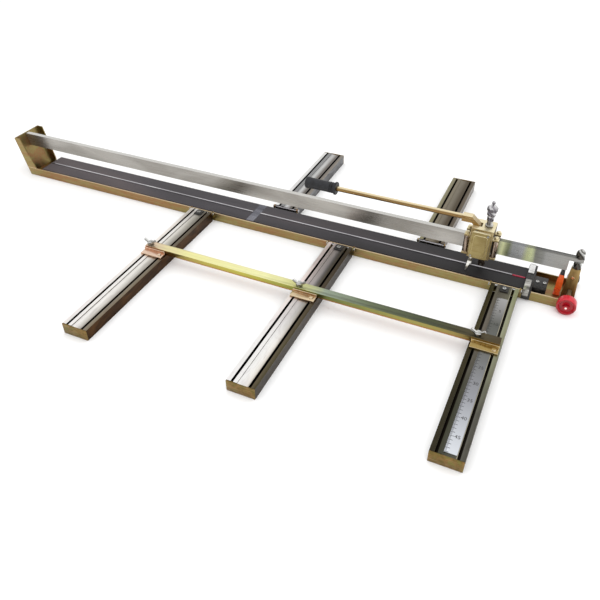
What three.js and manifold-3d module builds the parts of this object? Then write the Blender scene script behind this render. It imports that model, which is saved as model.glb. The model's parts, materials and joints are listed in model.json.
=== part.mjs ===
// Long manual tile cutter: a folded tray with rubber pads, a guide rail with a lever carriage,
// three folding front arms with a sliding fence, and two folding rear arms.
// Millimetres. X runs along the cut, Y to the rear, Z up. The cut line is y = 0 while building.
import * as THREE from 'three';
import { mergeVertices } from 'three/addons/utils/BufferGeometryUtils.js';
import Module from 'manifold-3d';

const wasm = await Module();
wasm.setup();

// ---- driving dimensions ----
const GAP = 0.3;                      // clearance between seated pieces
const RUNNING_GAP = 0.15;             // radial clearance of a turning or sliding fit

const TRAY_LENGTH = 1680;
const TRAY_WIDTH = 103;
const SHEET = 3;
const FRONT_FLANGE_HEIGHT = 25;
const REAR_FLANGE_HEIGHT = 18;
const UPRIGHT_HEIGHT = 120;
const UPRIGHT_LEAN = THREE.MathUtils.degToRad(13);
const UPRIGHT_CHEEK_TOP = 21;
const FRONT_CHEEK_FOOT = 28;
const REAR_CHEEK_FOOT = 16;

const PAD_MARGIN = 48;                // bare floor between the upturned end and the pads
const PAD_WIDTH = 42.7;
const PAD_TOP = 25;
const RIB_WIDTH = 3.8;
const RIB_STAND = 1.8;                // how far the breaking rib stands above the pads
const RED_RIB_LENGTH = 32;
const STRIP_X = -36;
const STRIP_WIDTH = 23;
const STRIP_THICKNESS = 1.5;

const RAIL_BOTTOM = 79.3;
const RAIL_HEIGHT = 39;
const RAIL_THICKNESS = 13;
const RAIL_TAB_LENGTH = 31;
const RAIL_TAB_HEIGHT = 10;
const RAIL_END_INSET = 5;             // rail stops short of the tray's right end
const STUD_RADIUS = 5;
const STUD_SPACER_RADIUS = 9.5;
const STUD_SPACER_HEIGHT = 19.5;
const DOME_RADIUS = 10.5;
const POST_WIDTH = 32;
const POST_TOP_WIDTH = 21;
const POST_THICKNESS = 14;
const END_BOLT_RADIUS = 4;
const END_BOLT_DEPTH = 28;

const WHEEL_RADIUS = 22.5;
const WHEEL_WIDTH = 22;
const WHEEL_INSET = 15;               // wheel axle to the tray's right end
const WHEEL_LIFT = 1;                 // wheels hang clear until the tray is tipped
const WHEEL_CHAMFER = 5;
const WHEEL_SIDE_GAP = 2;             // wheel to the tray's side face
const REAR_WHEEL_RADIUS = 15;
const REAR_WHEEL_WIDTH = 14;
const REAR_WHEEL_INSET = 12;
const AXLE_RADIUS = 5;
const AXLE_TAIL = 16;                 // axle's far end behind the cut line, inside the post
const REAR_PIN_RADIUS = 3.5;
const AXLE_HEAD = 3;                  // thickness of the head that keeps a wheel on
const AXLE_HEAD_RIM = 2.5;            // how far that head stands out round the axle

const ARM_WIDTH = 68;
const ARM_HEIGHT = 28.8;
const ARM_WALL = 3;
const ARM_PITCH = 433;
const RIGHT_ARM_INSET = 160;          // right front arm's centreline to the tray's right end
const FRONT_ARM_LENGTH = 552;
const REAR_ARM_LENGTH = 364;
const SLOT_OFFSET = 21;               // slot centreline to the arm's centreline
const SLOT_WIDTH = 6;
const CHAMBER_INNER = 12;
const CHAMBER_OUTER = 31;
const DUCT_HALF_WIDTH = 9;
const RULER_WIDTH = 25;
const RULER_THICKNESS = 1;
const RULER_OFFSET = 4;
const RULER_INSET = 52;
const CAP_THICKNESS = 3;
const HINGE_OFFSET = 5.5;             // arm hinge axis to the tray's side face
const HINGE_DROP = 4.8;               // arm hinge axis below the arm's top
const HINGE_PIN_RADIUS = 2.5;
const LUG_THICKNESS = 3.2;
const LUG_RADIUS = 4.8;
const HINGE_HEAD_HEIGHT = 2.4;

const FENCE_DISTANCE = 224;           // fence centreline to the tray's front face
const FENCE_WIDTH = 24;
const FENCE_HEIGHT = 13.6;
const FENCE_WALL = 2;
const FENCE_OVERHANG = 30;            // fence past the outer arms' centrelines
const CLAMP_LENGTH = 62;
const CLAMP_DEPTH = 21;
const CLAMP_THICKNESS = 4;
const CLAMP_BOLT_RADIUS = 2.5;
const T_NUT_RADIUS = 6.5;
const T_NUT_HEIGHT = 5;
const KNOB_HUB_RADIUS = 8;
const KNOB_HUB_HEIGHT = 7;
const KNOB_SPAN = 35;
const KNOB_WING_HEIGHT = 15;

const CARRIAGE_INSET = 243;           // parked carriage's centre to the tray's right end
const BLOCK_LENGTH = 54;
const BLOCK_WIDTH = 48;
const BLOCK_CROWN = 30;               // carriage block above the rail's top
const BLOCK_SKIRT = 13.3;             // carriage block below the rail's bottom
const RAIL_CLEARANCE = 0.8;
const ROLLER_RADIUS = 7;
const ROLLER_BORE = 3;
const ROLLER_SPREAD = 35;             // roller axis to the carriage centre along the rail
const ROLLER_LENGTH = 48;
const ROLLER_DROP = 2;                // rollers' middle below the rail's middle
const EAR_THICKNESS = 4;
const ROLLER_PIN_REACH = 7;           // roller pin past each end of its roller
const ROLLER_HEAD_RADIUS = 5.5;
const ROLLER_HEAD_HEIGHT = 7;
const BLOCK_ROOF = 6;                 // solid metal over the wheel holder's stirrup
const COVER_LENGTH = 45;
const COVER_HEIGHT = 74;
const COVER_TOP_DROP = 4.5;           // cover's top edge below the block's top
const COVER_CORNER = 5;
const COVER_BORDER = 6;
const COVER_PANEL_DROP = 8;           // raised panel's top below the cover's top
const COVER_PANEL_CORNER = 7;
const COVER_THICKNESS = 8;
const COVER_PANEL_RISE = 1.6;
const COVER_SCREW_RADIUS = 2.6;
const COVER_SCREW_DEPTH = 5;
const LEVER_PIVOT_X = -14;            // from the carriage centre
const LEVER_PIVOT_DROP = 6.8;         // lever pivot below the block's top
const LEVER_EYE_RADIUS = 8;
const LEVER_EYE_WIDTH = 18;
const PIVOT_PIN_RADIUS = 4;
const FORK_REACH = 42;
const FORK_HALF_HEIGHT = 8;
const FORK_NECK = 18;                 // crank from the eye to the level arm
const FORK_SOCKET = 20;               // rod's length inside the fork
const ROD_RADIUS = 6.5;
const ROD_LENGTH = 429;
const ROD_RISE = 18.5;                // rod's centreline above the pivot
const GRIP_RADIUS = 14.5;
const GRIP_LENGTH = 89;
const GRIP_OVERHANG = 12;             // grip's closed end past the rod
const GRIP_FLANGE_RISE = 2.5;
const GRIP_FLANGE_LENGTH = 4;
const TURRET_X = 10;                  // turret axis from the carriage centre
const NECK_RADIUS = 7;
const NECK_HEIGHT = 15.7;
const NECK_COLLAR_RISE = 3;           // collar's radius over the neck's
const NECK_COLLAR_HEIGHT = 5;
const KNURL_RADIUS = 13;
const KNURL_COUNT = 12;
const KNURL_GROOVE = 2.2;
const KNURL_FOOT = 28;                // knurled crown above the knob's foot
const KNURL_HEIGHT = 8;
// the knob's turned stem and finial: [radius, height above the knob's foot]
const KNOB_STEM = [[7, 0], [8.7, 2], [8.7, 12], [7.5, 13], [11, 17], [11, 24], [9.5, 26]];
const KNOB_FINIAL = [[8, 41], [3, 43], [3, 46], [5, 48], [5, 51], [0, 54]];
const SCREW_RADIUS = 3;
const HOLDER_TOP_GAP = 4;             // over the wheel holder, for the depth adjustment
const HOLDER_WINDOW = 3;              // holder's window past the rail, above and below
const STEM_HALF_WIDTH = 6;
const STEM_DROP = 4;                  // stem below the scoring wheel's pin
const SCORING_RADIUS = 9;
const SCORING_STAND = 2.4;            // scoring wheel above the rib
const SCORING_BEVEL = 2;
const SCORING_HALF_WIDTH = 1.2;
const SCORING_SLOT = 1.6;             // half the slot that holds the scoring wheel
const SCORING_PIN_RADIUS = 1.5;
const SCREW_ENGAGEMENT = 5;           // depth of the adjusting screw in the wheel holder
const FOOT_TRAVEL = 8;
const FOOT_YOKE_HEIGHT = 6;
const FOOT_STAND = 2;                 // breaking foot's tips above the pads
const FOOT_REACH = 31;                // foot's outer face to the cut line
const FOOT_BLADE = 6;
const FOOT_LENGTH = 10;               // foot along the cut at its yoke
const FOOT_LEAN = 3;                  // blade tips left of the yoke's left face
const FOOT_TIP = 2.5;                 // blade tips' length along the cut
const FOOT_PIN_X = 4;
const FOOT_PIN_DEPTH = 40;

// ---- derived places ----
const trayLeft = -TRAY_LENGTH / 2;
const trayRight = TRAY_LENGTH / 2;
const traySide = TRAY_WIDTH / 2;
const padLeft = trayLeft + PAD_MARGIN;
const padBottom = SHEET + GAP;
const padInner = RIB_WIDTH / 2 + GAP;
const padOuter = padInner + PAD_WIDTH;
const ribTop = PAD_TOP + RIB_STAND;
const centreArmX = trayRight - RIGHT_ARM_INSET - ARM_PITCH;
const armXs = [centreArmX - ARM_PITCH, centreArmX, centreArmX + ARM_PITCH];
const rearArmXs = [centreArmX - ARM_PITCH / 2, centreArmX + ARM_PITCH / 2];
const carriageX = trayRight - CARRIAGE_INSET;
const armHalf = ARM_WIDTH / 2;
const hingeZ = ARM_HEIGHT - HINGE_DROP;
const hingeY = traySide + HINGE_OFFSET;
const lugOuter = armHalf + GAP + LUG_THICKNESS;
const stopLeft = armXs[2] + lugOuter + HINGE_HEAD_HEIGHT + 2 * GAP;
const stopRight = stopLeft + 20;
const stopTop = ribTop + GAP + 4;
const railTop = RAIL_BOTTOM + RAIL_HEIGHT;
const railHalf = RAIL_THICKNESS / 2;
const railRight = trayRight - RAIL_END_INSET;
const tabLeft = railRight - RAIL_TAB_LENGTH;
const tabBottom = railTop - RAIL_TAB_HEIGHT;
const studX = railRight - 11;
const postTop = tabBottom - GAP - STUD_SPACER_HEIGHT - GAP;
const axleX = trayRight - WHEEL_INSET;
const axleZ = WHEEL_RADIUS + WHEEL_LIFT;
const rearPinX = trayRight - REAR_WHEEL_INSET;
const rearPinZ = REAR_WHEEL_RADIUS + WHEEL_LIFT;
const fenceY = -(traySide + FENCE_DISTANCE);
const fenceBottom = ARM_HEIGHT + GAP;
const fenceTop = fenceBottom + FENCE_HEIGHT;
const rollerY = railHalf + ROLLER_RADIUS + RUNNING_GAP;
const rollerMiddle = RAIL_BOTTOM + RAIL_HEIGHT / 2 - ROLLER_DROP;
const pivotX = carriageX + LEVER_PIVOT_X;
const blockTop = railTop + BLOCK_CROWN;
const blockBottom = RAIL_BOTTOM - BLOCK_SKIRT;
const pivotZ = blockTop - LEVER_PIVOT_DROP;
const rodZ = pivotZ + ROD_RISE;
const turretX = carriageX + TURRET_X;

// ---- finishes ----
const finish = (color, roughness, metalness) => ({ color, roughness, metalness });
const ZINC = finish(0xa89060, 0.35, 0.8);
const BRASS_ZINC = finish(0xb09a5c, 0.3, 0.8);
const STEEL = finish(0xa8a8a4, 0.25, 0.9);
const CHROME = finish(0xd8d8d8, 0.12, 1);
const ALUMINIUM = finish(0xc9c8c6, 0.4, 0.8);
const OLIVE = finish(0x8c7a50, 0.4, 0.7);
const RUBBER = finish(0x2a2c2e, 0.8, 0);
const BLACK = finish(0x1b1b1b, 0.5, 0.2);
const RED = finish(0xb01525, 0.35, 0);
const ORANGE = finish(0xe05a28, 0.45, 0);

// ---- solids ----
function solidOf(geometry) {
  const plain = geometry.clone();
  plain.deleteAttribute('normal');
  plain.deleteAttribute('uv');
  const welded = mergeVertices(plain, 1e-3);
  const vertProperties = new Float32Array(welded.attributes.position.array);
  const triVerts = new Uint32Array(welded.index.array);
  return new wasm.Manifold(new wasm.Mesh({ numProp: 3, vertProperties, triVerts }));
}

function geometryOf(solid) {
  const mesh = solid.getMesh();
  const geometry = new THREE.BufferGeometry();
  geometry.setAttribute('position', new THREE.BufferAttribute(mesh.vertProperties, 3));
  geometry.setIndex(new THREE.BufferAttribute(mesh.triVerts, 1));
  geometry.computeVertexNormals();
  return geometry;
}

function box(x0, x1, y0, y1, z0, z1) {
  const geometry = new THREE.BoxGeometry(x1 - x0, y1 - y0, z1 - z0);
  geometry.translate((x0 + x1) / 2, (y0 + y1) / 2, (z0 + z1) / 2);
  return solidOf(geometry);
}

// a round bar between two ends along one axis, centred on (a, b) in the other two
function bar(axis, from, to, a, b, radius, sides = 16) {
  const geometry = new THREE.CylinderGeometry(radius, radius, to - from, sides);
  const middle = (from + to) / 2;
  if (axis === 'x') geometry.rotateZ(Math.PI / 2).translate(middle, a, b);
  if (axis === 'y') geometry.translate(a, middle, b);
  if (axis === 'z') geometry.rotateX(Math.PI / 2).translate(a, b, middle);
  return solidOf(geometry);
}

// a turned piece: [radius, height] points from the axis and back to it, about a vertical axis
function turned(points, x, y, sides = 24) {
  const profile = points.map(([r, z]) => new THREE.Vector2(r, z));
  const geometry = new THREE.LatheGeometry(profile, sides);
  geometry.rotateX(Math.PI / 2).translate(x, y, 0);
  return solidOf(geometry);
}

function shapeOf(points) {
  return new THREE.Shape(points.map(([u, v]) => new THREE.Vector2(u, v)));
}

// an outline drawn in X and Z, made solid from y0 to y1
function slabY(outline, y0, y1) {
  const depth = y1 - y0;
  const geometry = new THREE.ExtrudeGeometry(outline, { depth, bevelEnabled: false, curveSegments: 5 });
  geometry.rotateX(Math.PI / 2).translate(0, y1, 0);
  return solidOf(geometry);
}

function rounded(x0, x1, y0, y1, radius) {
  const shape = new THREE.Shape();
  shape.moveTo(x0 + radius, y0);
  shape.lineTo(x1 - radius, y0);
  shape.absarc(x1 - radius, y0 + radius, radius, -Math.PI / 2, 0);
  shape.absarc(x1 - radius, y1 - radius, radius, 0, Math.PI / 2);
  shape.absarc(x0 + radius, y1 - radius, radius, Math.PI / 2, Math.PI);
  shape.absarc(x0 + radius, y0 + radius, radius, Math.PI, Math.PI * 1.5);
  return shape;
}

const cutter = new THREE.Group();

function part(name, solid, look) {
  const mesh = new THREE.Mesh(geometryOf(solid), new THREE.MeshStandardMaterial(look));
  mesh.name = name;
  cutter.add(mesh);
}

// ---- tray with its leaning upturned end ----
function uprightX(z) {
  return trayLeft - z * Math.tan(UPRIGHT_LEAN);
}

// the side cheek of the upturned end, drawn from the outer corner round to its free edge
function cheek(height, foot) {
  const upper = uprightX(UPRIGHT_HEIGHT);
  const inner = trayLeft + foot;
  const outline = shapeOf([[trayLeft, 0], [inner, 0], [inner, height],
    [upper + UPRIGHT_CHEEK_TOP, UPRIGHT_HEIGHT], [upper, UPRIGHT_HEIGHT]]);
  return slabY(outline, 0, SHEET);
}

function lugPair(x, side) {
  const reach = traySide + HINGE_OFFSET;
  const lugs = [];
  for (const edge of [x - lugOuter, x + armHalf + GAP]) {
    const eye = bar('x', edge, edge + LUG_THICKNESS, side * reach, hingeZ, LUG_RADIUS, 12);
    const root = side * (traySide - SHEET / 2);
    const web = box(edge, edge + LUG_THICKNESS, Math.min(root, side * reach),
      Math.max(root, side * reach), hingeZ - 14, hingeZ + LUG_RADIUS);
    lugs.push(eye.add(web));
  }
  return lugs;
}

function addTray() {
  const upper = uprightX(UPRIGHT_HEIGHT);
  const plateWidth = SHEET / Math.cos(UPRIGHT_LEAN);
  const plate = shapeOf([[trayLeft, 0], [trayLeft + plateWidth, 0],
    [upper + plateWidth, UPRIGHT_HEIGHT], [upper, UPRIGHT_HEIGHT]]);
  let tray = box(trayLeft, trayRight, -traySide, traySide, 0, SHEET);
  tray = tray.add(slabY(plate, -traySide, traySide));
  const frontCheek = cheek(FRONT_FLANGE_HEIGHT, FRONT_CHEEK_FOOT);
  const rearCheek = cheek(REAR_FLANGE_HEIGHT, REAR_CHEEK_FOOT);
  tray = tray.add(box(trayLeft, trayRight, -traySide, SHEET - traySide, 0, FRONT_FLANGE_HEIGHT));
  tray = tray.add(box(padLeft, trayRight, traySide - SHEET, traySide, 0, REAR_FLANGE_HEIGHT));
  tray = tray.add(frontCheek.translate([0, -traySide, 0]));
  tray = tray.add(rearCheek.translate([0, traySide - SHEET, 0]));
  for (const x of armXs) for (const lug of lugPair(x, -1)) tray = tray.add(lug);
  for (const x of rearArmXs) for (const lug of lugPair(x, 1)) tray = tray.add(lug);
  for (const x of armXs) tray = tray.subtract(hingeHole(x, -1));
  for (const x of rearArmXs) tray = tray.subtract(hingeHole(x, 1));
  tray = tray.subtract(bar('y', -traySide - 1, -padOuter, axleX, axleZ, AXLE_RADIUS + GAP));
  tray = tray.add(rearPin());
  tray = tray.subtract(endBolt(END_BOLT_RADIUS + GAP, 12, 40));
  part('base_tray', tray, ZINC);
}

function hingeHole(x, side) {
  const radius = HINGE_PIN_RADIUS + RUNNING_GAP;
  return bar('x', x - lugOuter - 1, x + lugOuter + 1, side * hingeY, hingeZ, radius, 12);
}

// the bolt that pulls the rail's left end against the leaning plate, square to the plate
function endBolt(radius, outside, inside) {
  const geometry = new THREE.CylinderGeometry(radius, radius, outside + inside, 12);
  geometry.rotateZ(Math.PI / 2).translate((inside - outside) / 2, 0, 0);
  geometry.rotateY(-UPRIGHT_LEAN);
  const z = RAIL_BOTTOM + RAIL_HEIGHT / 2;
  geometry.translate(uprightX(z), 0, z);
  return solidOf(geometry);
}

function addRail() {
  const start = SHEET / Math.cos(UPRIGHT_LEAN) + GAP;
  const outline = shapeOf([[uprightX(RAIL_BOTTOM) + start, RAIL_BOTTOM], [tabLeft, RAIL_BOTTOM],
    [tabLeft, tabBottom], [railRight, tabBottom], [railRight, railTop],
    [uprightX(railTop) + start, railTop]]);
  let rail = slabY(outline, -railHalf, railHalf);
  rail = rail.subtract(bar('z', tabBottom - 1, railTop + 1, studX, 0, STUD_RADIUS + RUNNING_GAP));
  rail = rail.subtract(endBolt(END_BOLT_RADIUS + GAP, 1, END_BOLT_DEPTH + 4));
  part('guide_rail', rail, STEEL);
  const head = endBolt(8, 7, -GAP);
  part('rail_left_bolt', endBolt(END_BOLT_RADIUS, 2, END_BOLT_DEPTH).add(head), CHROME);
}

function addEndPost() {
  const right = trayRight;
  const left = right - POST_WIDTH;
  const inset = (POST_WIDTH - POST_TOP_WIDTH) / 2;
  const outline = shapeOf([[left, padBottom], [right, padBottom],
    [studX + POST_TOP_WIDTH / 2, postTop], [studX - POST_TOP_WIDTH / 2, postTop]]);
  let post = slabY(outline, -POST_THICKNESS / 2, POST_THICKNESS / 2);
  post = post.add(box(left + inset, right, -20, 20, padBottom, padBottom + 4));
  post = post.subtract(bar('z', postTop - 16, postTop + 1, studX, 0, STUD_RADIUS + RUNNING_GAP));
  post = post.subtract(bar('y', -30, 30, axleX, axleZ, AXLE_RADIUS + GAP));
  part('end_post', post, ZINC);

  const spacerTop = tabBottom - GAP;
  const stud = turned([[0, postTop - 14], [STUD_RADIUS, postTop - 14], [STUD_RADIUS, postTop + GAP],
    [STUD_SPACER_RADIUS, postTop + GAP], [STUD_SPACER_RADIUS, spacerTop], [STUD_RADIUS, spacerTop],
    [STUD_RADIUS, railTop + GAP], [DOME_RADIUS, railTop + GAP], [DOME_RADIUS, railTop + 11],
    [DOME_RADIUS * 0.85, railTop + 17], [DOME_RADIUS * 0.5, railTop + 21], [0, railTop + 22.5]],
  studX, 0);
  part('rail_end_stud', stud, CHROME);
}

// ---- pads, breaking rib and centre strip between the flanges ----
function addPads() {
  const half = RIB_WIDTH / 2;
  const stripLeft = STRIP_X - STRIP_WIDTH / 2;
  const stripRight = STRIP_X + STRIP_WIDTH / 2;
  const stripBottom = PAD_TOP - STRIP_THICKNESS;
  const recess = box(stripLeft - GAP, stripRight + GAP, -padOuter - 1, padOuter + 1,
    stripBottom - GAP, PAD_TOP + 1);
  const frontPad = box(padLeft, stopRight, -padOuter, -padInner, padBottom, PAD_TOP);
  const rearPad = box(padLeft, stopRight, padInner, padOuter, padBottom, PAD_TOP);
  part('front_pad', frontPad.subtract(recess), RUBBER);
  part('rear_pad', rearPad.subtract(recess), RUBBER);
  const redEnd = stopLeft - 2;
  const redStart = redEnd - RED_RIB_LENGTH;
  const spans = [['breaking_rib_left', padLeft, stripLeft - GAP, STEEL],
    ['breaking_rib_right', stripRight + GAP, redStart - GAP, STEEL],
    ['rib_red_end', redStart, redEnd, RED]];
  for (const [name, x0, x1, look] of spans) {
    part(name, box(x0, x1, -half, half, padBottom, ribTop), look);
  }
  part('centre_strip', box(stripLeft, stripRight, -padOuter, padOuter, stripBottom, PAD_TOP), STEEL);
}

// ---- cross stop near the right end: a black saddle with scale plates and a clamp block ----
function addStop() {
  const frontFace = -(traySide + GAP);
  const rearFace = traySide + GAP;
  const under = ribTop + GAP;
  let saddle = box(stopLeft, stopRight, frontFace - 4, rearFace + 4, under, stopTop);
  saddle = saddle.add(box(stopLeft, stopRight, frontFace - 4, frontFace, SHEET, stopTop));
  saddle = saddle.add(box(stopLeft, stopRight, rearFace, rearFace + 4, 12, stopTop));
  part('stop_saddle', saddle, BLACK);

  const plateLeft = stopLeft + 1;
  const plateRight = stopRight - 5;
  const plateBottom = stopTop + GAP;
  const skirt = frontFace - 4 - GAP;
  let front = box(plateLeft, plateRight, skirt - 2, -13, plateBottom, plateBottom + 2);
  front = front.add(box(plateLeft, plateRight, skirt - 2, skirt, 14, plateBottom + 2));
  part('stop_plate_front', front, ALUMINIUM);
  part('stop_plate_rear', box(plateLeft, plateRight, 16, rearFace + 5, plateBottom,
    plateBottom + 2), ALUMINIUM);
  part('stop_clamp_block', box(stopRight + GAP, stopRight + 32, -36, 12, padBottom, stopTop), BLACK);
}

// ---- locking lever on the tray floor beside the post ----
const leverX = trayRight - POST_WIDTH - 10;
const leverPinZ = 16;

function addLockLever() {
  const clearRadius = 2.5 + RUNNING_GAP;
  const centre = 3;
  let clevis = box(leverX - 8, leverX + 8, centre - 12, centre + 12, padBottom, padBottom + 3);
  for (const side of [-1, 1]) {
    const y0 = centre + (side < 0 ? -11 : 7.5);
    clevis = clevis.add(box(leverX - 6, leverX + 6, y0, y0 + 3.5, padBottom, leverPinZ + 5));
  }
  clevis = clevis.add(bar('y', centre - 11, centre + 11, leverX, leverPinZ, 2.5, 12));
  part('lever_clevis', clevis, BLACK);

  const outline = new THREE.Shape();
  outline.absarc(leverX, leverPinZ, 7.5, Math.PI, Math.PI * 2);
  outline.lineTo(leverX + 7.5, 38);
  outline.lineTo(leverX + 5, 70);
  outline.absarc(leverX + 0.5, 70, 4.5, 0, Math.PI);
  outline.lineTo(leverX - 7.5, 38);
  let lever = slabY(outline, centre - 7, centre + 7);
  lever = lever.subtract(bar('y', centre - 8, centre + 8, leverX, leverPinZ, clearRadius, 12));
  part('lock_lever', lever, ORANGE);
}

// ---- transport wheels: a large one on an axle in the post, a small one on a pin in the tray ----
function wheel(name, radius, width, bore, x, y, z, look) {
  const half = width / 2;
  const shoulder = half - width * 0.2;
  const face = radius - WHEEL_CHAMFER;
  const profile = [[bore, -half], [face, -half], [radius, -shoulder], [radius, shoulder],
    [face, half], [bore, half], [bore, -half]];
  const points = profile.map(([r, along]) => new THREE.Vector2(r, along));
  const geometry = new THREE.LatheGeometry(points, 32);
  geometry.translate(x, y, z);
  part(name, solidOf(geometry), look);
}

function addWheels() {
  const inner = traySide + WHEEL_SIDE_GAP;
  const reach = inner + WHEEL_WIDTH + GAP;
  let axle = bar('y', -reach - 1, AXLE_TAIL, axleX, axleZ, AXLE_RADIUS);
  axle = axle.add(bar('y', -reach - AXLE_HEAD, -reach, axleX, axleZ, AXLE_RADIUS + AXLE_HEAD_RIM));
  part('wheel_axle', axle, CHROME);
  wheel('transport_wheel_front', WHEEL_RADIUS, WHEEL_WIDTH, AXLE_RADIUS + RUNNING_GAP, axleX,
    -inner - WHEEL_WIDTH / 2, axleZ, RED);
  wheel('transport_wheel_rear', REAR_WHEEL_RADIUS, REAR_WHEEL_WIDTH,
    REAR_PIN_RADIUS + RUNNING_GAP, rearPinX, inner + REAR_WHEEL_WIDTH / 2, rearPinZ, BLACK);
}

// the headed pin that the small rear wheel turns on, riveted into the tray's rear flange
function rearPin() {
  const inner = traySide + WHEEL_SIDE_GAP;
  const reach = inner + REAR_WHEEL_WIDTH + GAP;
  const pin = bar('y', traySide - 1, reach + 1, rearPinX, rearPinZ, REAR_PIN_RADIUS, 12);
  const collar = bar('y', traySide - 1, inner - GAP, rearPinX, rearPinZ, REAR_PIN_RADIUS + 3, 12);
  const head = bar('y', reach, reach + AXLE_HEAD, rearPinX, rearPinZ,
    REAR_PIN_RADIUS + AXLE_HEAD_RIM, 12);
  return pin.add(collar).add(head);
}

// ---- slotted arms ----
function armOutline() {
  const top = ARM_HEIGHT;
  const roof = top - ARM_WALL;
  const right = [];
  const slotIn = SLOT_OFFSET - SLOT_WIDTH / 2;
  const slotOut = SLOT_OFFSET + SLOT_WIDTH / 2;
  right.push([armHalf, 0], [armHalf, top], [slotOut, top], [slotOut, roof], [CHAMBER_OUTER, roof]);
  right.push([CHAMBER_OUTER, ARM_WALL], [CHAMBER_INNER, ARM_WALL], [CHAMBER_INNER, roof]);
  right.push([slotIn, roof], [slotIn, top]);
  const grooveFloor = top - RULER_THICKNESS - GAP;
  const grooveLeft = RULER_OFFSET - RULER_WIDTH / 2 - GAP;
  const grooveRight = RULER_OFFSET + RULER_WIDTH / 2 + GAP;
  const groove = [[grooveRight, top], [grooveRight, grooveFloor], [grooveLeft, grooveFloor],
    [grooveLeft, top]];
  const left = right.map(([x, z]) => [-x, z]).reverse();
  const outline = shapeOf([...right, ...groove, ...left]);
  const duct = shapeOf([[-DUCT_HALF_WIDTH, ARM_WALL + 1], [-DUCT_HALF_WIDTH, roof - 2],
    [DUCT_HALF_WIDTH, roof - 2], [DUCT_HALF_WIDTH, ARM_WALL + 1]]);
  outline.holes.push(duct);
  return outline;
}

function addArm(name, x, side, length) {
  const root = side * hingeY;
  const tip = root + side * length;
  let arm = slabY(armOutline(), Math.min(root, tip), Math.max(root, tip)).translate([x, 0, 0]);
  const pin = HINGE_PIN_RADIUS + RUNNING_GAP;
  arm = arm.subtract(bar('x', x - armHalf - 1, x + armHalf + 1, root, hingeZ, pin, 12));
  part(`${name}_profile`, arm, ALUMINIUM);
  const capIn = tip + side * GAP;
  const capOut = capIn + side * CAP_THICKNESS;
  const cap = box(x - armHalf, x + armHalf, Math.min(capIn, capOut), Math.max(capIn, capOut),
    0, ARM_HEIGHT);
  part(`${name}_cap`, cap, OLIVE);
  const head = HINGE_PIN_RADIUS + 2;
  const face = lugOuter + GAP;
  let bolt = bar('x', x - face - 1, x + face + 1, root, hingeZ, HINGE_PIN_RADIUS, 12);
  bolt = bolt.add(bar('x', x - face - HINGE_HEAD_HEIGHT, x - face, root, hingeZ, head, 6));
  bolt = bolt.add(bar('x', x + face, x + face + HINGE_HEAD_HEIGHT, root, hingeZ, head, 6));
  part(`${name}_hinge_bolt`, bolt, STEEL);
}

function addArms() {
  const names = ['front_arm_left', 'front_arm_centre', 'front_arm_right'];
  names.forEach((name, i) => addArm(name, armXs[i], -1, FRONT_ARM_LENGTH));
  addArm('rear_arm_left', rearArmXs[0], 1, REAR_ARM_LENGTH);
  addArm('rear_arm_right', rearArmXs[1], 1, REAR_ARM_LENGTH);
  const rulerX = armXs[2] + RULER_OFFSET;
  const tip = -(hingeY + FRONT_ARM_LENGTH);
  part('arm_ruler', box(rulerX - RULER_WIDTH / 2, rulerX + RULER_WIDTH / 2, tip + 8,
    -(hingeY + RULER_INSET), ARM_HEIGHT - RULER_THICKNESS, ARM_HEIGHT), STEEL);
}

// ---- fence bar with a clamp plate and a wing knob at each front arm ----
function addFence() {
  const y0 = fenceY - FENCE_WIDTH / 2;
  const y1 = fenceY + FENCE_WIDTH / 2;
  const x0 = armXs[0] - FENCE_OVERHANG;
  const x1 = armXs[2] + FENCE_OVERHANG;
  let tube = box(x0, x1, y0, y1, fenceBottom, fenceTop);
  tube = tube.subtract(box(x0 - 1, x1 + 1, y0 + FENCE_WALL, y1 - FENCE_WALL,
    fenceBottom + FENCE_WALL, fenceTop - FENCE_WALL));
  const names = ['left', 'centre', 'right'];
  armXs.forEach((x, i) => {
    const boltX = x - SLOT_OFFSET;
    tube = tube.subtract(bar('z', fenceBottom - 1, fenceTop + 1, boltX, fenceY,
      CLAMP_BOLT_RADIUS + GAP));
    addClamp(names[i], x, y0);
    addKnob(names[i], boltX);
  });
  part('fence_bar', tube, ZINC);
}

function addClamp(name, x, fenceFace) {
  const back = fenceFace - GAP;
  const front = back - CLAMP_DEPTH;
  const top = fenceBottom + CLAMP_THICKNESS;
  const half = CLAMP_LENGTH / 2;
  let clamp = box(x - half, x + half, front, back, fenceBottom, top);
  clamp = clamp.add(box(x - half, x + half, back - 3, back, fenceBottom, fenceTop - 3));
  const boltX = x + SLOT_OFFSET;
  const boltY = (front + back - 3) / 2;
  const roof = ARM_HEIGHT - ARM_WALL;
  clamp = clamp.add(bar('z', roof - GAP - 1, top + 1, boltX, boltY, CLAMP_BOLT_RADIUS, 12));
  clamp = clamp.add(bar('z', roof - GAP - T_NUT_HEIGHT, roof - GAP, boltX, boltY, T_NUT_RADIUS, 12));
  clamp = clamp.add(bar('z', top, top + 4, boltX, boltY, 5, 6));
  part(`fence_clamp_${name}`, clamp, ZINC);
}

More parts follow.
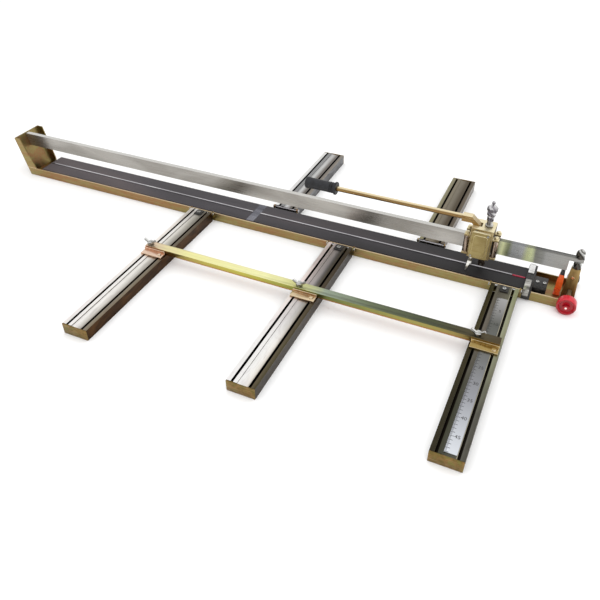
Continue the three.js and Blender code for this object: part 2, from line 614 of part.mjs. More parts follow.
function addKnob(name, x) {
  const roof = ARM_HEIGHT - ARM_WALL;
  const bottom = fenceTop + GAP;
  const hubTop = bottom + KNOB_HUB_HEIGHT;
  let knob = bar('z', bottom, hubTop, x, fenceY, KNOB_HUB_RADIUS, 20);
  knob = knob.add(bar('z', roof - GAP - 1, hubTop, x, fenceY, CLAMP_BOLT_RADIUS, 12));
  knob = knob.add(bar('z', roof - GAP - T_NUT_HEIGHT, roof - GAP, x, fenceY, T_NUT_RADIUS, 12));
  const span = KNOB_SPAN / 2;
  const tip = bottom + KNOB_WING_HEIGHT;
  const wings = shapeOf([[x - 6, bottom + 2], [x + 6, bottom + 2], [x + span, tip - 5],
    [x + span - 3, tip], [x + 5, hubTop + 1], [x - 5, hubTop + 1], [x - span + 3, tip],
    [x - span, tip - 5]]);
  knob = knob.add(slabY(wings, fenceY - 2.5, fenceY + 2.5));
  part(`clamp_knob_${name}`, knob, CHROME);
}

// ---- carriage: a block round the rail, two covers, four guide rollers ----
const rollerBottom = rollerMiddle - ROLLER_LENGTH / 2;
const rollerTop = rollerMiddle + ROLLER_LENGTH / 2;
const holderHalfX = 8;
const holderHalfY = 13;
const footX = carriageX - 20;
const guideY = 17;
const guideRadius = 3;

function addCarriage() {
  const half = BLOCK_LENGTH / 2;
  const side = BLOCK_WIDTH / 2;
  let block = box(carriageX - half, carriageX + half, -side, side, blockBottom, blockTop);
  for (const sx of [-1, 1]) {
    for (const sy of [-1, 1]) {
      const x = carriageX + sx * ROLLER_SPREAD;
      const y = sy * rollerY;
      const xIn = carriageX + sx * (half - 1);
      const xOut = x + sx * ROLLER_RADIUS;
      for (const z of [rollerBottom - GAP - EAR_THICKNESS, rollerTop + GAP]) {
        block = block.add(box(Math.min(xIn, xOut), Math.max(xIn, xOut), y - ROLLER_RADIUS,
          y + ROLLER_RADIUS, z, z + EAR_THICKNESS));
      }
      block = block.add(bar('z', rollerBottom - ROLLER_PIN_REACH, rollerTop + ROLLER_PIN_REACH,
        x, y, ROLLER_BORE, 12));
      const headBottom = rollerTop + EAR_THICKNESS - 1;
      block = block.add(bar('z', headBottom, headBottom + ROLLER_HEAD_HEIGHT, x, y,
        ROLLER_HEAD_RADIUS, 6));
    }
  }
  const pocketHalf = LEVER_EYE_WIDTH / 2 + GAP;
  const pocketReach = LEVER_EYE_RADIUS + 3 * GAP;
  block = block.subtract(box(carriageX - half - 1, pivotX + pocketReach, -pocketHalf, pocketHalf,
    pivotZ - pocketReach, blockTop + 1));
  block = block.subtract(bar('y', -side - 1, side + 1, pivotX, pivotZ,
    PIVOT_PIN_RADIUS + RUNNING_GAP));
  const slot = railHalf + RAIL_CLEARANCE;
  block = block.subtract(box(carriageX - BLOCK_LENGTH, carriageX + BLOCK_LENGTH, -slot, slot,
    RAIL_BOTTOM - RAIL_CLEARANCE, railTop + RAIL_CLEARANCE));
  const hx = holderHalfX + GAP;
  const hy = holderHalfY + GAP;
  block = block.subtract(box(turretX - hx, turretX + hx, -hy, hy, blockBottom - 1,
    blockTop - BLOCK_ROOF));
  for (const sy of [-1, 1]) {
    block = block.subtract(bar('z', blockBottom - 1, blockBottom + FOOT_PIN_DEPTH,
      footX + FOOT_PIN_X, sy * guideY, guideRadius + RUNNING_GAP, 12));
  }
  block = block.subtract(bar('z', blockTop - BLOCK_ROOF - 2, blockTop + 1, turretX, 0,
    SCREW_RADIUS + 3 * GAP, 12));
  part('carriage_block', block, BRASS_ZINC);
  part('lever_pivot_pin', bar('y', -side + 1, side - 1, pivotX, pivotZ, PIVOT_PIN_RADIUS), CHROME);
}

function addCovers() {
  const half = COVER_LENGTH / 2;
  const top = blockTop - COVER_TOP_DROP;
  const bottom = top - COVER_HEIGHT;
  const inner = BLOCK_WIDTH / 2 + GAP;
  const plate = rounded(carriageX - half, carriageX + half, bottom, top, COVER_CORNER);
  const panel = rounded(carriageX - half + COVER_BORDER, carriageX + half - COVER_BORDER,
    bottom + COVER_BORDER, top - COVER_PANEL_DROP, COVER_PANEL_CORNER);
  const outer = inner + COVER_THICKNESS;
  const rise = outer + COVER_PANEL_RISE;
  for (const [name, side] of [['carriage_cover_front', -1], ['carriage_cover_rear', 1]]) {
    let cover = slabY(plate, Math.min(side * inner, side * outer),
      Math.max(side * inner, side * outer));
    cover = cover.add(slabY(panel, Math.min(side * (outer - 1), side * rise),
      Math.max(side * (outer - 1), side * rise)));
    const holeX = carriageX + half - COVER_BORDER;
    const floor = side * (outer - COVER_SCREW_DEPTH);
    const mouth = side * (outer + 1);
    cover = cover.subtract(bar('y', Math.min(floor, mouth), Math.max(floor, mouth), holeX,
      top - COVER_BORDER, COVER_SCREW_RADIUS, 12));
    part(name, cover, BRASS_ZINC);
  }
}

function addRollers() {
  const names = [['guide_roller_front_left', -1, -1], ['guide_roller_front_right', 1, -1],
    ['guide_roller_rear_left', -1, 1], ['guide_roller_rear_right', 1, 1]];
  const bore = ROLLER_BORE + RUNNING_GAP;
  for (const [name, sx, sy] of names) {
    const profile = [[bore, rollerBottom], [ROLLER_RADIUS, rollerBottom],
      [ROLLER_RADIUS, rollerTop], [bore, rollerTop], [bore, rollerBottom]];
    part(name, turned(profile, carriageX + sx * ROLLER_SPREAD, sy * rollerY, 20), STEEL);
  }
}

// ---- wheel holder under the rail, hung from a stirrup inside the block ----
const holderX = turretX;
const holderTop = blockTop - BLOCK_ROOF - HOLDER_TOP_GAP;
const scoringZ = ribTop + SCORING_STAND + SCORING_RADIUS;

function addHolder() {
  const window = railHalf + 2;
  const x0 = holderX - holderHalfX;
  const x1 = holderX + holderHalfX;
  let holder = box(x0, x1, -holderHalfY, holderHalfY, blockBottom + 2, holderTop);
  holder = holder.subtract(box(x0 - 1, x1 + 1, -window, window,
    RAIL_BOTTOM - HOLDER_WINDOW, railTop + HOLDER_WINDOW));
  const stem = box(x0, x1, -STEM_HALF_WIDTH, STEM_HALF_WIDTH, scoringZ - STEM_DROP,
    blockBottom + 3);
  const slot = box(x0 - 1, x1 + 1, -SCORING_SLOT, SCORING_SLOT, scoringZ - STEM_DROP - 1,
    scoringZ + SCORING_RADIUS + 2);
  holder = holder.add(stem).subtract(slot);
  holder = holder.subtract(bar('y', -STEM_HALF_WIDTH - 1, STEM_HALF_WIDTH + 1, holderX,
    scoringZ, SCORING_PIN_RADIUS + GAP, 12));
  holder = holder.subtract(bar('z', holderTop - SCREW_ENGAGEMENT - 2, holderTop + 1, turretX, 0,
    SCREW_RADIUS + RUNNING_GAP, 12));
  part('wheel_holder', holder, STEEL);
  part('scoring_wheel_pin', bar('y', -STEM_HALF_WIDTH - 0.5, STEM_HALF_WIDTH + 0.5, holderX,
    scoringZ, SCORING_PIN_RADIUS, 12), CHROME);

  const bore = SCORING_PIN_RADIUS + RUNNING_GAP;
  const flat = SCORING_RADIUS - SCORING_BEVEL;
  const profile = [[bore, -SCORING_HALF_WIDTH], [flat, -SCORING_HALF_WIDTH], [SCORING_RADIUS, 0],
    [flat, SCORING_HALF_WIDTH], [bore, SCORING_HALF_WIDTH], [bore, -SCORING_HALF_WIDTH]];
  const points = profile.map(([r, y]) => new THREE.Vector2(r, y));
  const wheel = new THREE.LatheGeometry(points, 24);
  wheel.translate(holderX, 0, scoringZ);
  part('scoring_wheel', solidOf(wheel), CHROME);
}

// ---- depth adjuster on top of the carriage ----
function addTurret() {
  const neckTop = blockTop + GAP + NECK_HEIGHT;
  const boreRadius = SCREW_RADIUS + RUNNING_GAP;
  const collarRadius = NECK_RADIUS + NECK_COLLAR_RISE;
  const collarTop = blockTop + NECK_COLLAR_HEIGHT;
  const neck = turned([[boreRadius, blockTop + GAP], [collarRadius, blockTop + GAP],
    [collarRadius, collarTop], [NECK_RADIUS, collarTop + 1], [NECK_RADIUS, neckTop],
    [boreRadius, neckTop], [boreRadius, blockTop + GAP]], turretX, 0, 20);
  part('turret_neck', neck, CHROME);

  const z = neckTop + GAP;
  const crown = z + KNURL_FOOT;
  const tip = holderTop - SCREW_ENGAGEMENT;
  const raised = (profile) => profile.map(([radius, rise]) => [radius, z + rise]);
  let knob = turned([[0, tip], [SCREW_RADIUS - GAP, tip], [SCREW_RADIUS - GAP, z],
    ...raised(KNOB_STEM), [KNURL_RADIUS - 1, crown], [KNURL_RADIUS, crown + 1],
    [KNURL_RADIUS, crown + KNURL_HEIGHT], ...raised(KNOB_FINIAL)], turretX, 0);
  for (let i = 0; i < KNURL_COUNT; i += 1) {
    const angle = (i / KNURL_COUNT) * Math.PI * 2;
    const x = turretX + Math.cos(angle) * (KNURL_RADIUS + 1);
    const y = Math.sin(angle) * (KNURL_RADIUS + 1);
    knob = knob.subtract(bar('z', crown - 1, crown + KNURL_HEIGHT + 1, x, y, KNURL_GROOVE, 8));
  }
  part('adjuster_knob', knob, CHROME);
}

// ---- lever: an eye on the pivot pin, a cranked fork, a rod and a rubber grip ----
function addLever() {
  const half = LEVER_EYE_WIDTH / 2;
  const outline = new THREE.Shape();
  const endX = pivotX - FORK_REACH;
  outline.moveTo(pivotX + 4, pivotZ + LEVER_EYE_RADIUS - 1);
  outline.lineTo(pivotX - FORK_NECK, rodZ + FORK_HALF_HEIGHT);
  outline.lineTo(endX, rodZ + FORK_HALF_HEIGHT);
  outline.lineTo(endX, rodZ - FORK_HALF_HEIGHT);
  outline.lineTo(pivotX - FORK_NECK + 2, rodZ - FORK_HALF_HEIGHT);
  outline.lineTo(pivotX - 4, pivotZ - LEVER_EYE_RADIUS + 1);
  outline.absarc(pivotX, pivotZ, LEVER_EYE_RADIUS - 0.5, -Math.PI / 2, Math.PI / 3);
  let fork = slabY(outline, -half, half);
  fork = fork.subtract(bar('y', -half - 1, half + 1, pivotX, pivotZ,
    PIVOT_PIN_RADIUS + RUNNING_GAP));
  fork = fork.subtract(bar('x', endX - 1, endX + FORK_SOCKET + 2, 0, rodZ,
    ROD_RADIUS + RUNNING_GAP));
  part('lever_fork', fork, BRASS_ZINC);

  const rodStart = endX + FORK_SOCKET;
  const rodEnd = rodStart - ROD_LENGTH;
  part('lever_rod', bar('x', rodEnd, rodStart, 0, rodZ, ROD_RADIUS), BRASS_ZINC);

  const collar = rodEnd + GRIP_LENGTH - GRIP_OVERHANG;
  let grip = bar('x', rodEnd - GRIP_OVERHANG, collar, 0, rodZ, GRIP_RADIUS, 20);
  grip = grip.add(bar('x', collar - GRIP_FLANGE_LENGTH, collar, 0, rodZ,
    GRIP_RADIUS + GRIP_FLANGE_RISE, 20));
  grip = grip.subtract(bar('x', rodEnd - GAP, collar + 1, 0, rodZ, ROD_RADIUS + GAP));
  part('lever_grip', grip, RUBBER);
}

// ---- breaking foot: a yoke across the cut that two guide pins lead into the block ----
function addBreakingFoot() {
  const yokeTop = blockBottom - FOOT_TRAVEL - 0.5;
  const yokeBottom = yokeTop - FOOT_YOKE_HEIGHT;
  const tip = PAD_TOP + FOOT_STAND;
  const footLeft = footX - 1;
  const footRight = footLeft + FOOT_LENGTH;
  let foot = box(footLeft, footRight, -FOOT_REACH, FOOT_REACH, yokeBottom, yokeTop);
  for (const sy of [-1, 1]) {
    foot = foot.add(bar('z', yokeTop - 2, blockBottom + FOOT_PIN_DEPTH - FOOT_TRAVEL - 2,
      footX + FOOT_PIN_X, sy * guideY, guideRadius, 12));
    const wing = shapeOf([[footLeft, yokeTop], [footLeft - FOOT_LEAN, tip],
      [footLeft - FOOT_LEAN + FOOT_TIP, tip], [footRight, yokeTop]]);
    const outer = sy * FOOT_REACH;
    const inner = sy * (FOOT_REACH - FOOT_BLADE);
    foot = foot.add(slabY(wing, Math.min(inner, outer), Math.max(inner, outer)));
  }
  part('breaking_foot', foot, ALUMINIUM);
}

addTray();
addRail();
addEndPost();
addPads();
addStop();
addLockLever();
addWheels();
addArms();
addFence();
addCarriage();
addCovers();
addRollers();
addHolder();
addTurret();
addLever();
addBreakingFoot();

// the origin is under the middle of the whole object, on the surface it stands on
const extent = new THREE.Box3().setFromObject(cutter);
const middle = extent.getCenter(new THREE.Vector3());
cutter.position.set(-middle.x, -middle.y, -extent.min.z);
cutter.updateMatrixWorld(true);

export default cutter;
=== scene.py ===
import json
import math

import bpy
from mathutils import Matrix, Vector


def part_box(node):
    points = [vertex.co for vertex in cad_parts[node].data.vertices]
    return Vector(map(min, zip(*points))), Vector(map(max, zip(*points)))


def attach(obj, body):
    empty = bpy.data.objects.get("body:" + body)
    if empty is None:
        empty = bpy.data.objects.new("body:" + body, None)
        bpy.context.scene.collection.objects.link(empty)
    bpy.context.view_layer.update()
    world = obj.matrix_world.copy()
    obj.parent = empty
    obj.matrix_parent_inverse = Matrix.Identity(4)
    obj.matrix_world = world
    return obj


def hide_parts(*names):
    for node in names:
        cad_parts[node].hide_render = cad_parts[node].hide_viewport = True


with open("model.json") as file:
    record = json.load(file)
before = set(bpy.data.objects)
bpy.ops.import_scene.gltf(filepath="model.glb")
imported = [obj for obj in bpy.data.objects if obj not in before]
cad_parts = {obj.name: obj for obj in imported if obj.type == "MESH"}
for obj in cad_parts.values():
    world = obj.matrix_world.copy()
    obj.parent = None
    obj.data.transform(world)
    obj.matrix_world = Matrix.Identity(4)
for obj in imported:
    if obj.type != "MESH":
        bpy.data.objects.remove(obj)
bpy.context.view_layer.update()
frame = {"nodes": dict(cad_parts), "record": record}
scene = bpy.context.scene
scene.view_settings.view_transform = "Standard"


# ---- studio ----
# The tool stands on a plain white floor and is seen from above its right front corner.
# Wide soft lamps light it evenly, in a pale room that is a little darker low down.
camera_data = bpy.data.cameras.new("camera")
camera_data.lens = 38.159
camera_data.sensor_width = 36
camera = bpy.data.objects.new("camera", camera_data)
scene.collection.objects.link(camera)
camera_right = Vector((0.90787458, 0.41913647, -0.00940036))
camera_up = Vector((-0.260744, 0.582061, 0.770207))
camera_back = Vector((0.32829317, -0.69679973, 0.63772544))
camera_turn = Matrix((camera_right, camera_up, camera_back)).transposed().to_4x4()
camera.matrix_world = Matrix.Translation((0.75559, -1.27624, 0.99795)) @ camera_turn
scene.camera = camera


def clear():
    if bpy.context.object and bpy.context.object.mode != "OBJECT":
        bpy.ops.object.mode_set(mode="OBJECT")
    bpy.ops.object.select_all(action="DESELECT")


def lamp(name, place, size, power):
    clear()
    bpy.ops.object.light_add(type="AREA", location=place)
    light = bpy.context.object
    light.name = name
    light.data.shape = "RECTANGLE"
    light.data.size, light.data.size_y = size
    light.data.energy = power
    light.rotation_euler = (-Vector(place)).to_track_quat("-Z", "Y").to_euler()
    light.visible_glossy = False


lamp("overhead_lamp", (0.2, 0.3, 3.2), (5.5, 5.5), 58)
lamp("front_lamp", (1.6, -3.0, 2.2), (2.8, 2.0), 24)

world = bpy.data.worlds.new("room")
scene.world = world
world.use_nodes = True
room = world.node_tree
sky = room.nodes.new("ShaderNodeTexCoord")
height = room.nodes.new("ShaderNodeSeparateXYZ")
room.links.new(sky.outputs["Generated"], height.inputs["Vector"])
grade = room.nodes.new("ShaderNodeValToRGB")
grade.color_ramp.elements[0].position = 0.05
grade.color_ramp.elements[0].color = (0.8, 0.8, 0.8, 1)
grade.color_ramp.elements[1].position = 0.55
grade.color_ramp.elements[1].color = (1, 1, 1, 1)
room.links.new(height.outputs["Z"], grade.inputs["Fac"])
room.links.new(grade.outputs["Color"], room.nodes["Background"].inputs["Color"])
room.nodes["Background"].inputs["Strength"].default_value = 0.98


# a bare finish: how metallic, how rough, how thick a clear coat
def finish(name, metal, rough, lacquer=0.0):
    look = bpy.data.materials.new(name)
    look.use_nodes = True
    shader = look.node_tree.nodes["Principled BSDF"]
    shader.inputs["Metallic"].default_value = metal
    shader.inputs["Roughness"].default_value = rough
    shader.inputs["Coat Weight"].default_value = lacquer
    return look


# one step of a finish, its inputs set or wired by name
def node(look, kind, settings=None, **wired):
    made = look.node_tree.nodes.new(kind)
    for key, value in (settings or {}).items():
        setattr(made, key, value)
    for key, value in wired.items():
        socket = made.inputs[key.replace("_", " ")]
        if isinstance(value, bpy.types.NodeSocket):
            look.node_tree.links.new(value, socket)
        else:
            socket.default_value = value
    return made


# wires a result into the surface
def feed(look, socket, value):
    shader = look.node_tree.nodes["Principled BSDF"]
    look.node_tree.links.new(value, shader.inputs[socket])


# cloudy pattern: size is a patch's length in metres, stretch how much longer it runs each way
def clouds(look, size, stretch=(1, 1, 1), detail=3.0, shift=(0, 0, 0), warp=0.0):
    scale = [1 / (size * along) for along in stretch]
    laid = node(look, "ShaderNodeMapping", Location=shift, Scale=scale,
                Vector=node(look, "ShaderNodeTexCoord").outputs["Object"])
    made = node(look, "ShaderNodeTexNoise", Vector=laid.outputs["Vector"], Scale=1.0,
                Detail=detail, Distortion=warp)
    return made.outputs["Fac"]


# colours spread over 0 to 1, each stop a place and a colour
def tones(look, factor, *stops):
    made = node(look, "ShaderNodeValToRGB", Fac=factor)
    ramp = made.color_ramp
    for extra in stops[2:]:
        ramp.elements.new(0.5)
    for stop, (at, colour) in zip(ramp.elements, stops):
        stop.position = at
        stop.color = (*colour, 1)
    return made.outputs["Color"]


floor_look = finish("studio_floor", 0.0, 0.9)
feed(floor_look, "Base Color", tones(floor_look, clouds(floor_look, 1.5),
                                     (0.2, (0.93, 0.93, 0.93)), (0.8, (0.95, 0.95, 0.95))))
clear()
bpy.ops.mesh.primitive_plane_add(size=60, location=(0, 0, -0.0005))
floor = bpy.context.object
floor.name = "studio_floor"
floor.data.materials.append(floor_look)


# ---- tray ----
# One long steel sheet folded up at the front and rear edges and into a leaning end plate at
# the left, plated in yellow zinc: gold brown with olive and pink clouds, a painted highlight on
# its front edge.

# a colour, 0 to 255 for each of red, green and blue
def tint(red, green, blue):
    return tuple((part / 255) ** 2.2 for part in (red, green, blue))


# the x, y and z of a place on the piece, or of the way its surface faces
def axes(look, kind="Object"):
    laid = node(look, "ShaderNodeTexCoord").outputs[kind]
    return node(look, "ShaderNodeSeparateXYZ", Vector=laid).outputs


# a value carried from the range start to end over to low to high
def shade(look, factor, low, high, start=0.0, end=1.0):
    made = node(look, "ShaderNodeMapRange", Value=factor, From_Min=start, From_Max=end,
                To_Min=low, To_Max=high)
    return made.outputs["Result"]


# two colours mixed by a share, or multiplied
def blend(look, factor, first, second, kind="MIX"):
    made = node(look, "ShaderNodeMix", {"data_type": "RGBA", "blend_type": kind})
    for socket, value in ((0, factor), (6, first), (7, second)):
        if isinstance(value, bpy.types.NodeSocket):
            look.node_tree.links.new(value, made.inputs[socket])
        elif socket == 0:
            made.inputs[socket].default_value = value
        else:
            made.inputs[socket].default_value = (*value, 1)
    return made.outputs[2]


# one step of arithmetic on a value that varies over the surface
def sums(look, operation, first, second=0.0):
    made = node(look, "ShaderNodeMath", {"operation": operation})
    for socket, value in enumerate((first, second)):
        if isinstance(value, bpy.types.NodeSocket):
            look.node_tree.links.new(value, made.inputs[socket])
        else:
            made.inputs[socket].default_value = value
    return made.outputs[0]


# fine unevenness of the surface, depth in metres
def relief(look, height, depth, strength=1.0):
    made = node(look, "ShaderNodeBump", Height=height, Distance=depth, Strength=strength)
    feed(look, "Normal", made.outputs["Normal"])


# gives CAD parts that stay as they are their look
def coat(look, *names):
    for name in names:
        frame["nodes"][name].material_slots[0].material = look


# the finished piece: outward faces, smooth rounds, its look, its body, and its CAD nodes hidden
def fit(piece, look, body, slot, *stands_for):
    clear()
    piece.select_set(True)
    bpy.context.view_layer.objects.active = piece
    bpy.ops.object.transform_apply(location=True, rotation=True, scale=True)
    bpy.ops.object.mode_set(mode="EDIT")
    bpy.ops.mesh.select_all(action="SELECT")
    bpy.ops.mesh.remove_doubles(threshold=0.000005)
    bpy.ops.mesh.normals_make_consistent(inside=False)
    bpy.ops.object.mode_set(mode="OBJECT")
    bpy.ops.object.shade_smooth_by_angle(angle=math.radians(35))
    piece.data.materials.clear()
    piece.data.materials.append(look)
    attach(piece, body)
    if stands_for:
        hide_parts(*stands_for)
    return piece


# the moving body and the material slot of each CAD part
BODY_OF = {}
for body_name, members in frame["record"]["behaviour"]["bodies"].items():
    for member in members:
        BODY_OF[member] = body_name
SLOT_OF = {row["node"]: row["material_slot"] for row in frame["record"]["subparts"]}


# the finished form of a CAD part: same shape, edges broken by a small round
def eased(name, look, width=0.0005, segments=2):
    clear()
    piece = bpy.data.objects.new(name + "_finished", frame["nodes"][name].data.copy())
    scene.collection.objects.link(piece)
    piece.select_set(True)
    bpy.context.view_layer.objects.active = piece
    bpy.ops.object.mode_set(mode="EDIT")
    bpy.ops.mesh.select_all(action="SELECT")
    bpy.ops.mesh.remove_doubles(threshold=0.00001)
    bpy.ops.mesh.dissolve_limited(angle_limit=math.radians(1))
    bpy.ops.object.mode_set(mode="OBJECT")
    if width:
        rounding = piece.modifiers.new("edges", "BEVEL")
        rounding.width = width
        rounding.segments = segments
        rounding.limit_method = "ANGLE"
        rounding.angle_limit = math.radians(40)
        bpy.ops.object.modifier_apply(modifier="edges")
    return fit(piece, look, BODY_OF[name], SLOT_OF[name], name)


# yellow zinc plating: clouds of three tints, with fine pale streaks along the piece
def zinc(name, first, second, third, metal=1.0, rough=0.34, size=0.06, along=(5, 1, 1)):
    look = finish(name, metal, rough)
    cloud = clouds(look, size, along, 4.0, warp=1.3)
    fine = clouds(look, 0.006, (2, 1, 1), 3.0, shift=(3, 1, 2))
    colour = tones(look, cloud, (0.3, first), (0.45, second), (0.58, third), (0.72, first))
    colour = blend(look, 0.5, colour, tones(look, fine, (0.3, second), (0.7, third)))
    streak = clouds(look, 0.0011, (70, 1, 1), 2.0)
    feed(look, "Base Color", blend(look, shade(look, streak, 0.0, 0.3, 0.5, 0.8), colour,
                                   tint(205, 190, 150)))
    feed(look, "Roughness", shade(look, cloud, rough - 0.08, rough + 0.12, 0.3, 0.7))
    relief(look, streak, 0.00012, 0.2)
    return look


# painted light on plated pieces by the way each face turns: a painted tone on upper faces, a
# painted highlight on rounded edges and painted shade on right flanks
def painted_light_by_facing(look, face, top, edge, shaded_flank):
    facing = axes(look, "Normal")
    squareness = sums(look, "MAXIMUM", sums(look, "ABSOLUTE", facing["X"]), sums(
        look, "MAXIMUM", sums(look, "ABSOLUTE", facing["Y"]),
        sums(look, "ABSOLUTE", facing["Z"])))
    colour = blend(look, shade(look, facing["X"], 0.0, 1.0, 0.3, 0.8), face, shaded_flank)
    colour = blend(look, shade(look, facing["Z"], 0.0, 1.0, 0.2, 0.8), colour, top)
    colour = blend(look, shade(look, squareness, 0.85, 0.0, 0.86, 0.97), colour, edge)
    return colour


tray_zinc = zinc("tray_zinc", tint(166, 122, 92), tint(140, 136, 86), tint(150, 106, 74))
tray_mix = tray_zinc.node_tree.nodes["Principled BSDF"].inputs["Base Color"]
tray_where = axes(tray_zinc)
# painted highlight: a pale cream band along the top edge of the front flange
flange_low, flange_full, flange_roof = 0.0240, 0.0248, 0.0256
flange_highlight = shade(tray_zinc, tray_where["Z"], 0.0, 0.85, flange_low, flange_full)
flange_highlight = sums(tray_zinc, "MULTIPLY", flange_highlight,
                  sums(tray_zinc, "LESS_THAN", tray_where["Z"], flange_roof))
flange_highlight = sums(tray_zinc, "MULTIPLY", flange_highlight, sums(
    tray_zinc, "LESS_THAN", tray_where["Y"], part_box("front_pad")[0][1] + 0.001))
feed(tray_zinc, "Base Color", blend(tray_zinc, flange_highlight, tray_mix.links[0].from_socket,
                                    tint(232, 208, 172)))
coat(tray_zinc, "base_tray")

# the post is plated too, with a painted red reflection at its foot and painted light by facing
post_zinc = zinc("post_zinc", tint(152, 126, 80), tint(142, 116, 70), tint(132, 106, 64), 0.8,
                 0.42, 0.02, (1, 1, 2))
post_low, post_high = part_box("end_post")
post_where = axes(post_zinc)
post_tone_and_reflection = tones(post_zinc, shade(post_zinc, post_where["Z"], 0.0, 1.0, post_low[2],
                                     post_high[2]), (0.0, tint(138, 66, 40)),
                    (0.35, tint(140, 100, 60)), (0.55, tint(142, 118, 72)),
                    (1.0, tint(148, 124, 80)))
post_mix = post_zinc.node_tree.nodes["Principled BSDF"].inputs["Base Color"]
post_tone_and_reflection = blend(post_zinc, 0.45, post_tone_and_reflection, post_mix.links[0].from_socket)
feed(post_zinc, "Base Color", painted_light_by_facing(post_zinc, post_tone_and_reflection, tint(120, 100, 66),
                                   tint(196, 168, 112), tint(74, 58, 34)))
eased("end_post", post_zinc, 0.0008)

# ---- pads ----
# Two long foam rubber pads glued to the tray floor: near black with grey dust and a painted
# sheen, finely open-grained, and darker toward the right end.
pad_rubber = finish("pad_rubber", 0.0, 0.62)
speck = clouds(pad_rubber, 0.0014, detail=2.0)
# grey clouds of dust and painted sheen over the near black
dust_and_sheen = clouds(pad_rubber, 0.14, (4, 1, 1), 5.0, warp=0.6)
feed(pad_rubber, "Base Color", blend(
    pad_rubber, shade(pad_rubber, speck, 0.0, 0.45, 0.35, 0.7),
    tones(pad_rubber, dust_and_sheen, (0.32, tint(52, 49, 48)), (0.5, tint(74, 71, 75)),
          (0.68, tint(98, 90, 90))), tint(40, 38, 40)))
pad_mix = pad_rubber.node_tree.nodes["Principled BSDF"].inputs["Base Color"]
pad_reach = 0.85
pad_along = shade(pad_rubber, axes(pad_rubber)["X"], 0.0, 1.0, -pad_reach, pad_reach)
feed(pad_rubber, "Base Color", blend(
    pad_rubber, 1.0, pad_mix.links[0].from_socket,
    tones(pad_rubber, pad_along, (0.0, (1.0, 0.95, 0.95)), (0.45, (0.78, 0.76, 0.78)),
          (0.66, (0.5, 0.48, 0.5)), (0.84, (0.2, 0.19, 0.19)), (1.0, (0.14, 0.13, 0.13))),
    "MULTIPLY"))
feed(pad_rubber, "Roughness", shade(pad_rubber, dust_and_sheen, 0.5, 0.78))
relief(pad_rubber, speck, 0.0003, 0.5)
coat(pad_rubber, "front_pad", "rear_pad")

# ---- bright work ----
# Ground and chromed steel: the rail, rib, strip, studs, rollers and pins. Bright steel has
# painted reflections of the room in dark and pale bands round its curves.

# chrome plate: painted reflection bands that follow the way the surface faces, under a thin haze
def chrome(name, light, middle, dark, rough=0.14):
    look = finish(name, 0.95, rough)
    facing = axes(look, "Normal")
    turn = sums(look, "ADD", sums(look, "MULTIPLY", facing["Z"], 0.34),
                sums(look, "MULTIPLY", facing["X"], 0.16))
    turn = sums(look, "ADD", turn, 0.5)
    painted_reflection_bands = tones(look, turn, (0.06, middle), (0.3, light), (0.4, dark), (0.52, middle),
                  (0.6, dark), (0.7, light), (0.78, middle), (0.88, light))
    haze = clouds(look, 0.006, detail=3.0)
    feed(look, "Base Color", blend(look, shade(look, haze, 0.05, 0.4, 0.3, 0.7), painted_reflection_bands, middle))
    feed(look, "Roughness", shade(look, haze, rough - 0.05, rough + 0.12, 0.3, 0.7))
    return look


bright_chrome = chrome("bright_chrome", tint(250, 250, 248), tint(158, 158, 154),
                       tint(48, 46, 44))
worn_chrome = chrome("worn_chrome", tint(214, 212, 205), tint(128, 124, 114), tint(50, 46, 42),
                     0.22)
dark_chrome = chrome("dark_chrome", tint(240, 240, 236), tint(84, 80, 74), tint(16, 15, 14))


# ground steel, streaked along its length
def ground(name, *tints, rough=0.26, size=0.1):
    look = finish(name, 0.9, rough)
    streak = clouds(look, 0.0012, (110, 1, 1), 3.0)
    sheen = clouds(look, size, (3, 1, 1), 3.0, warp=0.8)
    low, middle, high = tints
    base = tones(look, sheen, (0.32, low), (0.5, middle), (0.68, high))
    feed(look, "Base Color", blend(look, shade(look, streak, 0.0, 0.4, 0.4, 0.7), base, high))
    feed(look, "Roughness", shade(look, streak, rough - 0.06, rough + 0.12))
    relief(look, streak, 0.00008, 0.25)
    return look, base, streak


# The rail is a deep flat bar, ground bright along its length, set upright over the pads.
rail_steel, rail_base, rail_streak = ground("rail_steel", tint(132, 128, 121),
                                            tint(146, 142, 136), tint(172, 168, 162))
rail_where = axes(rail_steel)
# near its right end, given here along the rail, painted reflections run in pale and dark bands
end_begins, end_stops = 0.63, 0.83
rail_share = shade(rail_steel, sums(rail_steel, "ADD", rail_where["X"], sums(
    rail_steel, "MULTIPLY", clouds(rail_steel, 0.02, (1, 1, 4), 2.0), 0.01)), 0.0, 1.0,
    end_begins, end_stops)
rail_end_reflections = tones(rail_steel, rail_share, (0.06, tint(150, 148, 142)),
                  (0.14, tint(172, 178, 140)), (0.19, tint(246, 252, 190)),
                  (0.25, tint(156, 166, 122)), (0.3, tint(222, 228, 234)),
                  (0.42, tint(232, 236, 242)), (0.48, tint(246, 254, 196)),
                  (0.53, tint(238, 248, 190)), (0.58, tint(118, 120, 112)),
                  (0.66, tint(122, 123, 120)), (0.7, tint(144, 145, 143)),
                  (1.0, tint(140, 140, 136)))
end_share = shade(rail_steel, rail_where["X"], 0.0, 0.85, end_begins + 0.01,
                  end_begins + 0.018)
rail_colour = blend(rail_steel, end_share, rail_base, rail_end_reflections)
# painted reflection: the top face pale up to the banded end and dark along it
top_share = shade(rail_steel, rail_where["X"], 0.0, 1.0, end_begins - 0.01,
                  end_begins + 0.02)
rail_top_reflection = blend(rail_steel, top_share, tint(224, 223, 218), tint(54, 54, 52))
rail_up = shade(rail_steel, axes(rail_steel, "Normal")["Z"], 0.0, 0.75, 0.4, 0.8)
rail_colour = blend(rail_steel, rail_up, rail_colour, rail_top_reflection)
rail_worn = shade(rail_steel, rail_streak, 0.0, 0.3, 0.4, 0.7)
feed(rail_steel, "Base Color", blend(rail_steel, rail_worn, rail_colour,
                                     tint(190, 188, 182)))
coat(rail_steel, "guide_rail")

